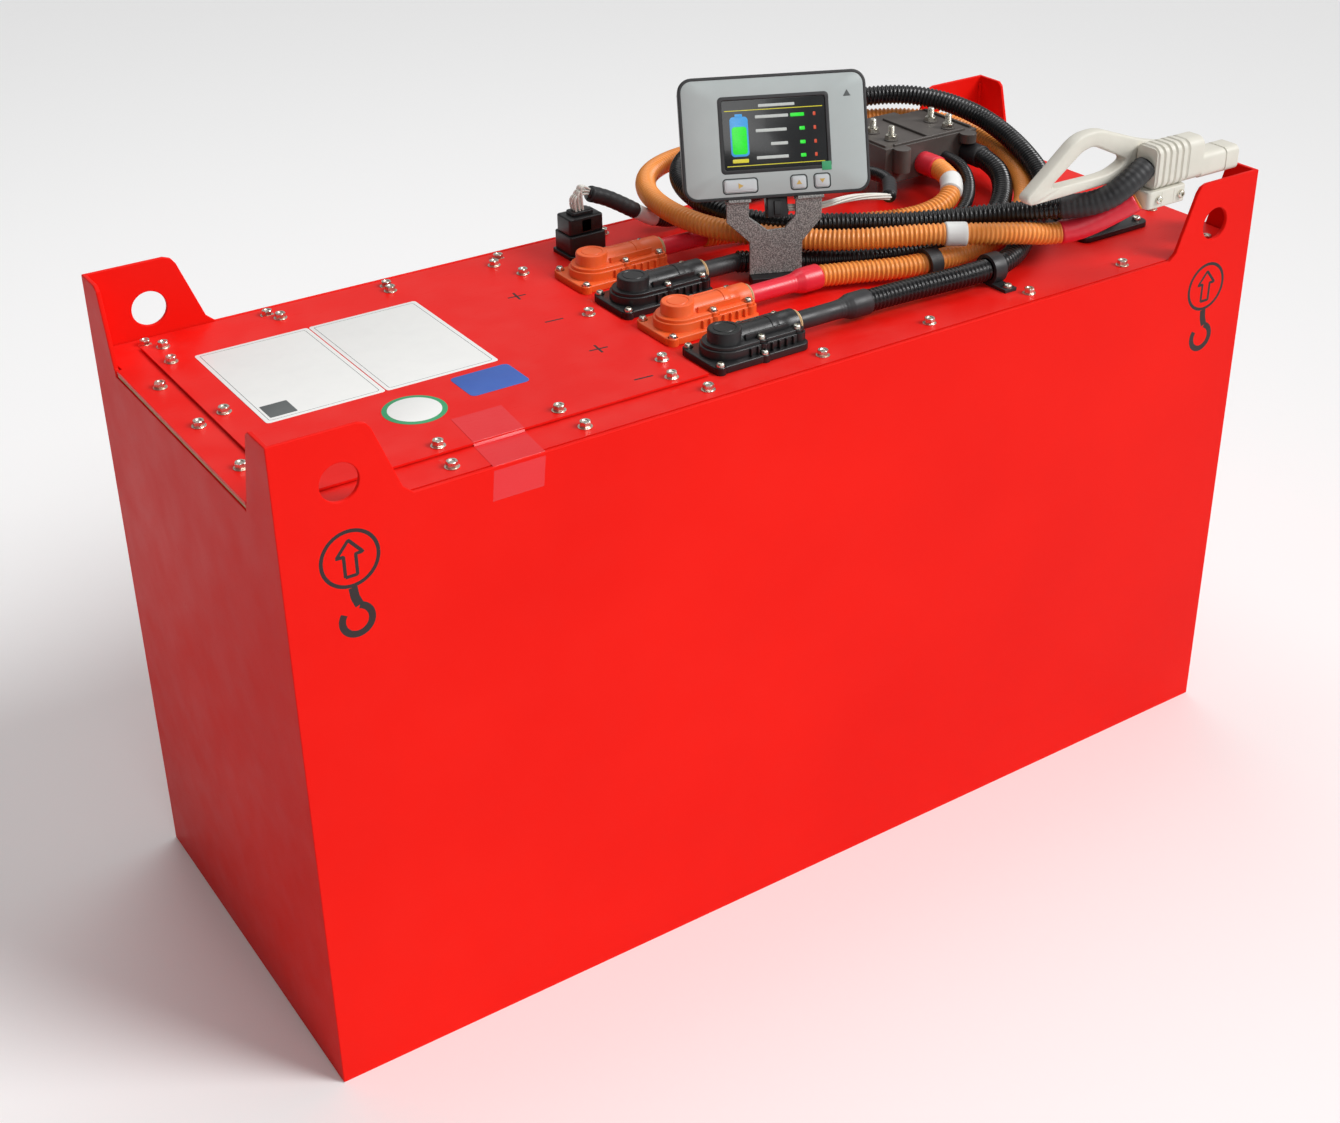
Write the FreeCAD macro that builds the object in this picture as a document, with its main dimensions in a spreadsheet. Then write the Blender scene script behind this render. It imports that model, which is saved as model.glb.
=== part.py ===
import FreeCAD, Part
import math
import os
import re
import Sketcher

# Steel-cased traction battery: a tray of prismatic cells, a bolted lid with high-current
# connectors, a display on a bracket, and the cables that leave the connectors.
# Millimetres, +Z up, origin at the centre of the tray's underside, +X along the tray.

SIZES = {
    # tray
    "tray_length": 1030, "tray_width": 400, "rim_height": 542, "ear_height": 612,
    "wall": 4, "floor_plate": 4, "ledge_width": 30, "ledge_plate": 4,
    "ear_top": 77, "ear_base": 112, "ear_slope_top": 604, "flap_top": 37, "flap_base": 54,
    "lift_hole_radius": 16, "lift_hole_inset": 53.6, "lift_hole_height": 568,
    # lid and access cover
    "lid_plate": 3, "gasket_thick": 3, "lid_gap": 1.5, "screw_inset": 20,
    "screw_pitch": 120, "end_pitch": 88,
    "cover_left": -482, "cover_right": -105, "cover_front": -159, "cover_back": 172,
    "cover_plate": 2, "cover_gasket_thick": 1, "cover_lap": 24, "cover_screw_inset": 11.5,
    # fasteners
    "screw_radius": 3, "screw_head": 5, "screw_head_height": 4, "washer_radius": 6.2,
    "washer_thick": 1.5, "hole_clearance": 0.3, "screw_length": 14,
    # cells and their pack
    "cell_length": 174, "cell_thick": 72, "cell_height": 205, "cell_spacer": 2,
    "row_gap": 6, "cells_per_row": 12, "terminal_radius": 9, "terminal_height": 3,
    "terminal_offset": 62, "busbar_width": 22, "busbar_thick": 2, "shelf_plate": 4,
    "layer_gap": 13, "end_plate": 20, "strap_width": 30, "strap_thick": 2,
    "ballast_thick": 46, "ballast_height": 400, "equipment_plate": 3, "equipment_width": 300,
    "equipment_lift": 16,
    # high-current connectors
    "connector_left": -100, "connector_length": 100, "connector_width": 56,
    "connector_front": -136, "connector_pitch": 72.5, "flange_thick": 7,
    "barrel_height": 15, "barrel_radius": 13, "boss_radius": 15, "boss_inset": 27,
    "boss_height": 29, "stud_radius": 6, "stud_gap": 0.5, "flange_screw_offset": 21.5,
    "seal_radius": 11, "seal_thick": 4,
    # cables
    "conduit_radius": 10.6, "signal_radius": 6.5, "wire_radius": 3.5,
    "sleeve_radius": 8.5, "sleeve_big_radius": 12, "sleeve_step": 50, "sleeve_length": 79,
    "short_plus_sleeve": 51, "short_minus_sleeve": 40,
    "clamp_wall": 3.6, "clamp_width": 14, "clamp_grip": 0.3, "clamp_a_x": 228,
    "clamp_a_y": -141, "clamp_b_x": 189, "clamp_b_y": -97,
    # pressure vent
    "vent_x": 413.5, "vent_y": -76.5, "vent_side": 89, "vent_base_thick": 6,
    "vent_cap_radius": 30, "vent_cap_height": 15, "vent_wall": 3, "vent_seat_radius": 12,
    "vent_disc_radius": 15, "vent_disc_thick": 2.5, "vent_stem_radius": 3,
    "vent_guide_gap": 0.3, "vent_spring_radius": 8, "vent_wire_radius": 0.8,
    # display and bracket
    "display_x": 68, "display_y": -22, "bracket_back": 4, "display_turn": 24, "display_tilt": 20,
    "display_width": 176, "display_height": 112, "display_depth": 22, "display_base": 625,
    "bezel_thick": 3, "screen_width": 97, "screen_height": 63, "screen_up": 27,
    "bracket_thick": 3, "bracket_foot": 550, "bracket_neck": 50, "bracket_left": 47, "bracket_right": 43,
    "bracket_top": 623.2, "foot_depth": 14,
    "key_height": 11, "key_up": 7, "key_gap": 0.4, "key_travel": 1,
    # charge inlet
    "inlet_left": 283, "inlet_right": 406, "inlet_front": 84, "inlet_back": 168,
    "inlet_low": 562, "inlet_top": 600, "inlet_wall": 5, "inlet_leg_radius": 8,
    "inlet_stud_radius": 3.5, "inlet_stud_height": 15, "inlet_sleeve": 24,
    "plus_port": 334, "signal_port": 364, "minus_port": 394, "port_height": 577,
    # truck plug
    "plug_rear": 377, "plug_step": 440, "plug_tip": 490, "plug_y": -181, "plug_width": 29,
    "plug_rest": 616, "plug_top": 658, "plug_nose_top": 640, "plug_clamp_low": 599,
    "plug_clamp_end": 420, "plug_mouth": 25, "plug_wall": 2.6, "handle_thick": 13,
    # data connector
    "com_x": -44, "com_y": 150, "com_length": 44, "com_width": 36, "com_height": 23,
    "com_plug_height": 17, "gland_x": 112, "gland_length": 22,
}

doc = FreeCAD.newDocument("traction_battery")
sheet = doc.addObject("Spreadsheet::Sheet", "Sizes")
for row, (alias, number) in enumerate(SIZES.items(), start=1):
    sheet.set("A%d" % row, alias.replace("_", " "))
    sheet.set("B%d" % row, str(number))
    sheet.setAlias("B%d" % row, alias)
doc.recompute()
size = {alias: float(sheet.get(alias)) for alias in SIZES}
nodes = []


def cell(text):
    """Write bare size names in an expression as cells of the sheet."""
    return re.sub(r"[a-z_]+", lambda m: "Sizes." + m.group() if m.group() in SIZES else m.group(),
                  str(text))


def bind(item, **fields):
    for field, text in fields.items():
        item.setExpression(field, cell(text))
    return item


def place(item, x=0, y=0, z=0):
    for axis, text in zip("xyz", (x, y, z)):
        item.setExpression(".Placement.Base." + axis, cell(text))
    return item


def box(name, length, width, height, x=0, y=0, z=0):
    """A box whose corner with the lowest x, y and z is given."""
    item = doc.addObject("Part::Box", name)
    bind(item, Length=length, Width=width, Height=height)
    return place(item, x, y, z)


def span(name, x0, x1, y0, y1, z0, z1):
    """A box from one corner to the other."""
    return box(name, "(%s) - (%s)" % (x1, x0), "(%s) - (%s)" % (y1, y0),
               "(%s) - (%s)" % (z1, z0), x0, y0, z0)


TURNS = {"z": FreeCAD.Rotation(),
         "x": FreeCAD.Rotation(FreeCAD.Vector(0, 1, 0), 90),
         "y": FreeCAD.Rotation(FreeCAD.Vector(1, 0, 0), -90)}


def rod(name, radius, length, x=0, y=0, z=0, along="z"):
    """A cylinder that starts at the given point and runs along +x, +y or +z."""
    item = doc.addObject("Part::Cylinder", name)
    item.Placement = FreeCAD.Placement(FreeCAD.Vector(), TURNS[along])
    bind(item, Radius=radius, Height=length)
    return place(item, x, y, z)


def hexagon(name, radius, height, x, y, z):
    item = doc.addObject("Part::Prism", name)
    item.Polygon = 6
    bind(item, Circumradius=radius, Height=height)
    return place(item, x, y, z)


def fuse(name, *items):
    item = doc.addObject("Part::MultiFuse", name)
    item.Shapes = list(items)
    return item


def cut(name, base, *tools):
    item = doc.addObject("Part::Cut", name)
    item.Base = base
    item.Tool = tools[0] if len(tools) == 1 else fuse(name + "_tools", *tools)
    return item


def group(name, items):
    """Separate solids of one kind, kept together as one node."""
    item = doc.addObject("Part::Compound", name)
    item.Links = list(items)
    return item


def mirror(name, source, normal):
    item = doc.addObject("Part::Mirroring", name)
    item.Source = source
    item.Normal = normal
    item.Base = FreeCAD.Vector()
    return item


def node(item, label):
    item.Label = label
    nodes.append(item)
    return item


def outline(name, points, thickness):
    """A PartDesign pad of a closed outline drawn in the XZ plane; every corner is bound."""
    body = doc.addObject("PartDesign::Body", name)
    plane = [f for f in body.Origin.OriginFeatures if f.Role == "XZ_Plane"][0]
    sketch = body.newObject("Sketcher::SketchObject", name + "_sketch")
    sketch.AttachmentSupport = [(plane, "")]
    sketch.MapMode = "FlatFace"
    values = [(float(sheet_value(x)), float(sheet_value(z))) for x, z in points]
    count = len(points)
    for i in range(count):
        start = FreeCAD.Vector(values[i][0], values[i][1], 0)
        end = FreeCAD.Vector(values[(i + 1) % count][0], values[(i + 1) % count][1], 0)
        sketch.addGeometry(Part.LineSegment(start, end), False)
    for i in range(count):
        sketch.addConstraint(Sketcher.Constraint("Coincident", i, 2, (i + 1) % count, 1))
    for i, (x, z) in enumerate(points):
        across = sketch.addConstraint(Sketcher.Constraint("DistanceX", -1, 1, i, 1, values[i][0]))
        upward = sketch.addConstraint(Sketcher.Constraint("DistanceY", -1, 1, i, 1, values[i][1]))
        sketch.setExpression("Constraints[%d]" % across, cell(x))
        sketch.setExpression("Constraints[%d]" % upward, cell(z))
    pad = body.newObject("PartDesign::Pad", name + "_pad")
    pad.Profile = sketch
    bind(pad, Length=thickness)
    return body


def sheet_value(text):
    """The present value of an expression, for the first guess of a sketch."""
    names = re.findall(r"[a-z_]+", str(text))
    words = str(text)
    for word in sorted(set(names), key=len, reverse=True):
        words = re.sub(r"\b%s\b" % word, repr(size[word]), words)
    total = FreeCAD.Units.Quantity(words)
    return total.Value


# ---------------------------------------------------------------- tray
shell = cut("tray_shell",
            box("tray_block", "tray_length", "tray_width", "rim_height",
                "-tray_length / 2", "-tray_width / 2", 0),
            span("tray_hollow", "wall - tray_length / 2", "tray_length / 2 - wall",
                 "wall - tray_width / 2", "tray_width / 2 - wall",
                 "floor_plate", "rim_height + 1"),
            span("end_wall_step", "-tray_length", "tray_length",
                 "flap_base + 2 - tray_width / 2", "tray_width / 2 - flap_base - 2",
                 "rim_height - lid_plate - gasket_thick", "rim_height + 1"))
LEDGE_TOP = "rim_height - lid_plate - gasket_thick"
ledge = cut("ledge_ring",
            span("ledge_block", "wall / 2 - tray_length / 2", "tray_length / 2 - wall / 2",
                 "wall / 2 - tray_width / 2", "tray_width / 2 - wall / 2",
                 LEDGE_TOP + " - ledge_plate", LEDGE_TOP),
            span("ledge_hollow", "ledge_width + wall - tray_length / 2",
                 "tray_length / 2 - wall - ledge_width",
                 "ledge_width + wall - tray_width / 2",
                 "tray_width / 2 - wall - ledge_width", 0, "rim_height"))
ear_plate = outline("ear_plate", [
    ("tray_length / 2", "rim_height"), ("tray_length / 2", "ear_height"),
    ("tray_length / 2 - ear_top + 5", "ear_height"),
    ("tray_length / 2 - ear_top - 2", "ear_height - 2.5"),
    ("tray_length / 2 - ear_top - 6", "ear_slope_top"),
    ("tray_length / 2 - ear_base + 8", "rim_height + 7"),
    ("tray_length / 2 - ear_base", "rim_height")], "wall")
place(ear_plate, 0, "tray_width / 2", 0)
ear_flap = outline("ear_flap", [
    (0, "rim_height"), (0, "ear_height"), ("5 - flap_top", "ear_height"),
    ("-flap_top", "ear_height - 4"), ("-flap_base", "rim_height")], "wall")
ear_flap.Placement = FreeCAD.Placement(FreeCAD.Vector(), FreeCAD.Rotation(90, 0, 0))
place(ear_flap, "tray_length / 2 - wall", "tray_width / 2", 0)
ear_right_back = cut("ear_right_back", fuse("ear_bent", ear_plate, ear_flap),
                     rod("lift_hole", "lift_hole_radius", "wall * 3",
                         "tray_length / 2 - lift_hole_inset", "tray_width / 2 - wall * 2",
                         "lift_hole_height", "y"))
ear_left_back = mirror("ear_left_back", ear_right_back, (1, 0, 0))
ear_right_front = mirror("ear_right_front", ear_right_back, (0, 1, 0))
ear_left_front = mirror("ear_left_front", ear_left_back, (0, 1, 0))

# ---------------------------------------------------------------- lid screws, where they stand
lid_spots = []
for side in (-1, 1):
    row_y = "%d * (tray_width / 2 - screw_inset)" % side
    for step in (-3, -2, -1, 0, 1, 2, 3):
        lid_spots.append(("%d * screw_pitch" % step, row_y))
    for end in (-1, 1):
        lid_spots.append(("%d * (tray_length / 2 - 2 * screw_inset)" % end, row_y))
    for step in (-1, 0, 1):
        lid_spots.append(("%d * (tray_length / 2 - screw_inset)" % side,
                          "%d * end_pitch" % step))
COVER_MID_Y = "(cover_front + cover_back) / 2"
cover_spots = []
for step in range(4):
    row_x = "cover_left + 17 + %d * (cover_right - cover_left - 47) / 3" % step
    cover_spots.append((row_x, "cover_front + cover_screw_inset"))
    cover_spots.append((row_x, "cover_back - cover_screw_inset"))
for step in (-1, 0, 1):
    row_y = COVER_MID_Y + " + %d * screw_pitch" % step
    cover_spots.append(("cover_left + cover_screw_inset", row_y))
    cover_spots.append(("cover_right - cover_screw_inset - 6", row_y))
COVER_TOP = "rim_height + cover_gasket_thick + cover_plate"
CONNECTORS = range(4)
BOSS_X = "connector_left + boss_inset"
CONNECTOR_END = "connector_left + connector_length"


def connector_y(k):
    return "(connector_front + %d * connector_pitch)" % k


def screw_holes(name, spots, low, high):
    """Clearance holes for M6 screws; one cutting tool."""
    return group(name, [rod("%s_%d" % (name, i), "screw_radius + hole_clearance",
                            "(%s) - (%s)" % (high, low), x, y, low)
                        for i, (x, y) in enumerate(spots)])


tray = cut("tray_body",
           fuse("tray_welded", shell, ledge),
           screw_holes("ledge_hole", lid_spots, LEDGE_TOP + " - ledge_plate - 1",
                       LEDGE_TOP + " + 1"))
node(tray, "tray")
node(group("ear_set", [ear_right_back, ear_left_back, ear_right_front, ear_left_front]),
     "lifting_ears")

# ---------------------------------------------------------------- lid, gasket and cover
def lid_outline(name, low, high, inset):
    """The lid's outline: it lies over the end walls between the ears."""
    return fuse(name,
                span(name + "_main", "wall + lid_gap - tray_length / 2",
                     "tray_length / 2 - wall - lid_gap", "wall + lid_gap - tray_width / 2",
                     "tray_width / 2 - wall - lid_gap", low, high),
                span(name + "_ends", "%s - tray_length / 2" % inset,
                     "tray_length / 2 - %s" % inset,
                     "flap_base + 4 - tray_width / 2", "tray_width / 2 - flap_base - 4",
                     low, high))


LID_LOW = "rim_height - lid_plate"
access_hole = span("access_hole", "cover_left + cover_lap", "cover_right - cover_lap - 6",
                   "cover_front + cover_lap", "cover_back - cover_lap",
                   LID_LOW + " - 1", "rim_height + 1")
stud_holes = group("stud_hole", [rod("stud_hole_%d" % k, "stud_radius + 4", "lid_plate + 2",
                                     BOSS_X, connector_y(k), LID_LOW + " - 1")
                                 for k in CONNECTORS])
vent_hole = rod("vent_hole", "vent_seat_radius + 4", "lid_plate + 2",
                "vent_x", "vent_y", LID_LOW + " - 1")
node(cut("main_lid_body", lid_outline("lid_blank", LID_LOW, "rim_height", "1"), access_hole,
         stud_holes, vent_hole,
         screw_holes("lid_hole", lid_spots + cover_spots, LID_LOW + " - 1",
                     "rim_height + 1")), "main_lid")
lid_seal = cut("lid_gasket_body", lid_outline("gasket_blank", LEDGE_TOP, LID_LOW, "1.5"),
               span("gasket_hollow", "ledge_width + wall - tray_length / 2",
                    "tray_length / 2 - wall - ledge_width", "ledge_width + wall - tray_width / 2",
                    "tray_width / 2 - wall - ledge_width", LEDGE_TOP + " - 1", LID_LOW + " + 1"),
               screw_holes("gasket_hole", lid_spots, LEDGE_TOP + " - 1", LID_LOW + " + 1"))
node(cut("access_cover_body",
         span("cover_blank", "cover_left", "cover_right", "cover_front", "cover_back",
              "rim_height + cover_gasket_thick", COVER_TOP),
         screw_holes("cover_hole", cover_spots, "rim_height", COVER_TOP + " + 1")),
     "access_cover")
cover_seal = cut("cover_gasket_body",
         span("cover_gasket_blank", "cover_left + 2", "cover_right - 2", "cover_front + 2",
              "cover_back - 2", "rim_height", "rim_height + cover_gasket_thick"),
         span("cover_gasket_hollow", "cover_left + cover_lap", "cover_right - cover_lap - 6",
              "cover_front + cover_lap", "cover_back - cover_lap", "rim_height - 1",
              "rim_height + cover_gasket_thick + 1"),
         screw_holes("cover_gasket_hole", cover_spots, "rim_height - 1",
                     "rim_height + cover_gasket_thick + 1"))
node(group("gasket_set", [lid_seal, cover_seal]), "gaskets")


def bolt(name, radius, head, head_height, length, x, y, z):
    """A hexagon-head screw that stands on z, its shank below."""
    return fuse(name, hexagon(name + "_head", head, head_height, x, y, z),
                rod(name + "_shank", radius, length, x, y, "(%s) - (%s)" % (z, length)))


def washer(name, x, y, z):
    return cut(name, rod(name + "_disc", "washer_radius", "washer_thick", x, y, z),
               rod(name + "_hole", "screw_radius + hole_clearance", "washer_thick + 2", x, y,
                   "(%s) - 1" % z))


lid_bolts = []
lid_washers = []
for i, (x, y) in enumerate(lid_spots + cover_spots):
    seat = "rim_height" if i < len(lid_spots) else COVER_TOP
    lid_washers.append(washer("washer_%d" % i, x, y, seat))
    lid_bolts.append(bolt("lid_bolt_%d" % i, "screw_radius", "screw_head",
                          "screw_head_height", "screw_length", x, y, seat + " + washer_thick"))
node(group("lid_bolt_set", lid_bolts), "lid_screws")
node(group("lid_washer_set", lid_washers), "lid_washers")

# ---------------------------------------------------------------- cells
CELL_STEP = "(cell_thick + cell_spacer)"
PACK_HALF = "((cells_per_row * cell_thick + (cells_per_row - 1) * cell_spacer) / 2)"
ROW_Y = "((cell_length + row_gap) / 2)"
cells_in_row = int(size["cells_per_row"])
LAYERS = ("floor_plate", "(floor_plate + cell_height + layer_gap + shelf_plate)")
cases = []
terminals = []
bars = []
spacers = []
for layer, base in enumerate(LAYERS):
    for i in range(cells_in_row):
        left = "%d * %s - %s" % (i, CELL_STEP, PACK_HALF)
        for side in (-1, 1):
            tag = "%d_%d_%s" % (layer, i, "f" if side < 0 else "b")
            mid_y = "%d * %s" % (side, ROW_Y)
            cases.append(box("cell_" + tag, "cell_thick", "cell_length", "cell_height", left,
                             mid_y + " - cell_length / 2", base))
            for pole in (-1, 1):
                terminals.append(rod("pole_%s_%d" % (tag, pole + 1), "terminal_radius",
                                     "terminal_height", left + " + cell_thick / 2",
                                     mid_y + " + %d * terminal_offset" % pole,
                                     base + " + cell_height"))
            if i < cells_in_row - 1:
                pole = 1 if i % 2 == 0 else -1
                bars.append(box("bar_" + tag, CELL_STEP + " + busbar_width", "busbar_width",
                                "busbar_thick", left + " + cell_thick / 2 - busbar_width / 2",
                                mid_y + " + %d * terminal_offset - busbar_width / 2" % pole,
                                base + " + cell_height + terminal_height"))
        if i < cells_in_row - 1:
            spacers.append(box("spacer_%d_%d" % (layer, i), "cell_spacer",
                               "2 * cell_length + row_gap", "cell_height - 10",
                               left + " + cell_thick", "-cell_length - row_gap / 2", base))
node(group("cell_set", cases), "cell_cases")
node(group("pole_set", terminals), "cell_terminals")
node(group("bar_set", bars), "busbars")
node(group("spacer_set", spacers), "cell_spacers")

SHELF_TOP = LAYERS[1]
PLATFORM = "(floor_plate + 2 * cell_height + layer_gap + shelf_plate + equipment_lift)"
shelf = box("shelf_body", "2 * " + PACK_HALF, "2 * cell_length + row_gap", "shelf_plate",
         "-" + PACK_HALF, "-cell_length - row_gap / 2", SHELF_TOP + " - shelf_plate")
end_left = box("end_plate_left", "end_plate", "2 * cell_length + row_gap", PLATFORM + " - floor_plate",
        "-" + PACK_HALF + " - end_plate", "-cell_length - row_gap / 2", "floor_plate")
end_right = box("end_plate_right", "end_plate", "2 * cell_length + row_gap",
        PLATFORM + " - floor_plate", PACK_HALF, "-cell_length - row_gap / 2", "floor_plate")
straps = []
for layer, base in enumerate(LAYERS):
    for side in (0, 1):
        near = "cell_length + row_gap / 2" if side else "-cell_length - row_gap / 2 - strap_thick"
        straps.append(box("strap_%d_%d" % (layer, side), "2 * %s + 2 * end_plate" % PACK_HALF,
                          "strap_thick", "strap_width", "-%s - end_plate" % PACK_HALF, near,
                          base + " + cell_height / 2 - strap_width / 2"))
node(fuse("module_frame_body", shelf, end_left, end_right, *straps), "module_frame")
node(group("ballast_set", [
    box("ballast_%d" % (side + 1), "ballast_thick", "tray_width - 2 * wall - 4",
        "ballast_height",
        "%s + end_plate" % PACK_HALF if side > 0
        else "-%s - end_plate - ballast_thick" % PACK_HALF,
        "wall + 2 - tray_width / 2", "floor_plate") for side in (-1, 1)]), "ballast_plates")

# ---------------------------------------------------------------- equipment above the cells
node(box("equipment_body", "2 * %s + 2 * end_plate" % PACK_HALF, "equipment_width",
         "equipment_plate", "-%s - end_plate" % PACK_HALF, "-equipment_width / 2", PLATFORM),
     "equipment_plate")
DECK = PLATFORM + " + equipment_plate"
bms_case = cut("bms_case_body", box("bms_block", 250, 150, 38, 90, -75, DECK),
               box("bms_hollow", 244, 144, 32, 93, -72, DECK + " + 3"))
node(bms_case, "bms_case")
node(box("bms_board_body", 236, 136, 3, 97, -68, DECK + " + 3"), "bms_board")
node(fuse("contactor_body", box("contactor_block", 84, 62, 52, -330, -90, DECK),
          rod("contactor_pole_a", 7, 8, -310, -59, DECK + " + 52"),
          rod("contactor_pole_b", 7, 8, -266, -59, DECK + " + 52")), "contactor")

# ---------------------------------------------------------------- high-current connectors
minus_bases = []
plus_bases = []
minus_covers = []
plus_covers = []
connector_bolts = []
connector_seals = []
connector_studs = []
SPLIT = "rim_height + barrel_height"
for k in CONNECTORS:
    mid = connector_y(k)
    name = "connector_%d" % k
    bore = rod(name + "_bore", "barrel_radius - 3", "connector_length - boss_inset + 1",
               BOSS_X, mid, SPLIT, "x")
    base = cut(name + "_base",
               fuse(name + "_base_solid",
                    box(name + "_flange", "connector_length", "connector_width",
                        "flange_thick", "connector_left",
                        mid + " - connector_width / 2", "rim_height"),
                    box(name + "_wall", "connector_length - boss_inset", 44,
                        "barrel_height - flange_thick", BOSS_X, mid + " - 22",
                        "rim_height + flange_thick"),
                    rod(name + "_round", 22, "barrel_height - flange_thick", BOSS_X, mid,
                        "rim_height + flange_thick")),
               bore,
               rod(name + "_stud_hole", "stud_radius + stud_gap", 40, BOSS_X, mid,
                   "rim_height - 10"),
               rod(name + "_well", 11, 20, BOSS_X, mid, "rim_height + flange_thick"))
    barrel = rod(name + "_barrel", "barrel_radius", "connector_length - boss_inset",
                 BOSS_X, mid, SPLIT, "x")
    cover_bore = rod(name + "_cover_bore", "barrel_radius - 3",
                     "connector_length - boss_inset + 1", BOSS_X, mid, SPLIT, "x")
    cover = cut(name + "_cover",
                fuse(name + "_cover_solid", barrel,
                     rod(name + "_boss", "boss_radius", "boss_height - barrel_height",
                         BOSS_X, mid, SPLIT),
                     rod(name + "_brim", 20, 3, BOSS_X, mid, SPLIT),
                     box(name + "_seam", "connector_length - boss_inset", 40, 3,
                         BOSS_X, mid + " - 20", SPLIT)),
                box(name + "_lower", 200, 100, 40, "connector_left - 20", mid + " - 50",
                    SPLIT + " - 40"),
                cover_bore,
                rod(name + "_cover_well", 11, "boss_height - barrel_height - 3", BOSS_X, mid,
                    SPLIT + " - 1"))
    (plus_bases if k % 2 else minus_bases).append(base)
    (plus_covers if k % 2 else minus_covers).append(cover)
    for i, reach in enumerate(("connector_left + 6", "connector_left + 52")):
        for side in (-1, 1):
            connector_bolts.append(bolt(
                "%s_bolt_%d_%d" % (name, i, side + 1), 1.6, 3, 3.5, 5, reach,
                mid + " + %d * (flange_screw_offset + 3)" % side,
                "rim_height + flange_thick"))
    for i, reach in enumerate((BOSS_X + " + 27", CONNECTOR_END + " - 8")):
        for side in (-1, 1):
            connector_bolts.append(bolt(
                "%s_cap_%d_%d" % (name, i, side + 1), 1.4, 2.8, 3.5, 3, reach,
                mid + " + %d * 16.6" % side, SPLIT + " + 3"))
    connector_seals.append(cut(
        name + "_seal", rod(name + "_seal_ring", "seal_radius", "seal_thick",
                            CONNECTOR_END, mid, SPLIT, "x"),
        rod(name + "_seal_hole", "stud_radius + 1", "seal_thick + 2",
            CONNECTOR_END + " - 1", mid, SPLIT, "x")))
    connector_studs.append(fuse(
        name + "_conductor",
        rod(name + "_stud", "stud_radius", "barrel_height + 44", BOSS_X, mid,
            "rim_height - 40"),
        rod(name + "_lug", "stud_radius + 0.5", "connector_length - boss_inset + seal_thick",
            BOSS_X, mid, SPLIT, "x")))
node(group("minus_base_set", minus_bases), "minus_connector_bases")
node(group("plus_base_set", plus_bases), "plus_connector_bases")
node(group("minus_cover_set", minus_covers), "minus_connector_covers")
node(group("plus_cover_set", plus_covers), "plus_connector_covers")
node(group("connector_bolt_set", connector_bolts), "connector_screws")
node(group("connector_seal_set", connector_seals), "connector_seals")
node(group("connector_stud_set", connector_studs), "connector_conductors")

# ---------------------------------------------------------------- cable sleeves and clamps
SLEEVE_FROM = CONNECTOR_END + " + seal_thick"


def sleeve(k, length, stepped):
    """The shrink sleeve over a cable end, from the seal to where the conduit starts."""
    name = "sleeve_%d" % k
    stub = rod(name + "_stub", "sleeve_radius", length, SLEEVE_FROM, connector_y(k), SPLIT,
               "x")
    if not stepped:
        return stub
    return fuse(name, stub, rod(name + "_wide", "sleeve_big_radius",
                                length + " - sleeve_step", SLEEVE_FROM + " + sleeve_step",
                                connector_y(k), SPLIT, "x"))


def port_sleeve(name, port):
    return rod(name, "sleeve_big_radius", "inlet_sleeve", port, "inlet_front - inlet_sleeve",
               "port_height", "y")


node(group("black_sleeve_set", [sleeve(0, "sleeve_length", True),
                                sleeve(2, "short_minus_sleeve", False),
                                port_sleeve("port_sleeve_minus", "minus_port")]),
     "black_sleeves")
node(group("red_sleeve_set", [sleeve(1, "sleeve_length", True),
                              sleeve(3, "short_plus_sleeve", False),
                              port_sleeve("port_sleeve_plus", "plus_port")]), "red_sleeves")
clamps = []
accessory_bolts = []
for i, (x, y) in enumerate((("clamp_b_x", "clamp_b_y"), ("clamp_a_x", "clamp_a_y"))):
    name = "clamp_%d" % i
    bar_y = y + " - 2.6 * conduit_radius"
    clamps.append(cut(
        name, fuse(name + "_solid",
                   rod(name + "_band", "conduit_radius + clamp_grip + clamp_wall",
                       "clamp_width", x + " - clamp_width / 2", y, SPLIT, "x"),
                   box(name + "_foot", "clamp_width", "2.6 * conduit_radius", 3.4,
                       x + " - clamp_width / 2", bar_y, "rim_height")),
        rod(name + "_grip", "conduit_radius + clamp_grip", "clamp_width + 2",
            x + " - clamp_width / 2 - 1", y, SPLIT, "x")))
    accessory_bolts.append(hexagon(name + "_bolt", 4, 3.5, x, bar_y + " + 5",
                                   "rim_height + 3.4"))
node(group("clamp_set", clamps), "cable_clamps")

# ---------------------------------------------------------------- pressure vent
VENT_SEAT = "rim_height + vent_base_thick"
CAP_IN = VENT_SEAT + " + vent_cap_height - vent_wall"
node(cut("vent_base_body",
         box("vent_plate", "vent_side", "vent_side", "vent_base_thick",
             "vent_x - vent_side / 2", "vent_y - vent_side / 2", "rim_height"),
         rod("vent_bore", "vent_seat_radius", "vent_base_thick + 2", "vent_x", "vent_y",
             "rim_height - 1")), "vent_base")
slots = [span("vent_slot_x", "vent_x - 40", "vent_x + 40", "vent_y - 8", "vent_y + 8",
              VENT_SEAT + " + 3", VENT_SEAT + " + 8"),
         span("vent_slot_y", "vent_x - 8", "vent_x + 8", "vent_y - 40", "vent_y + 40",
              VENT_SEAT + " + 3", VENT_SEAT + " + 8")]
cap_shell = cut("vent_cap_shell",
                rod("vent_cap_block", "vent_cap_radius", "vent_cap_height", "vent_x",
                    "vent_y", VENT_SEAT),
                rod("vent_cap_hollow", "vent_cap_radius - vent_wall",
                    "vent_cap_height - vent_wall + 1", "vent_x", "vent_y", VENT_SEAT + " - 1"),
                *slots)
node(cut("vent_cap_body",
         fuse("vent_cap_solid", cap_shell,
              rod("vent_boss", "2 * vent_stem_radius", 5, "vent_x", "vent_y",
                  CAP_IN + " - 5")),
         rod("vent_guide", "vent_stem_radius + vent_guide_gap", 6.5, "vent_x", "vent_y",
             CAP_IN + " - 5")), "vent_cap")
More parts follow.
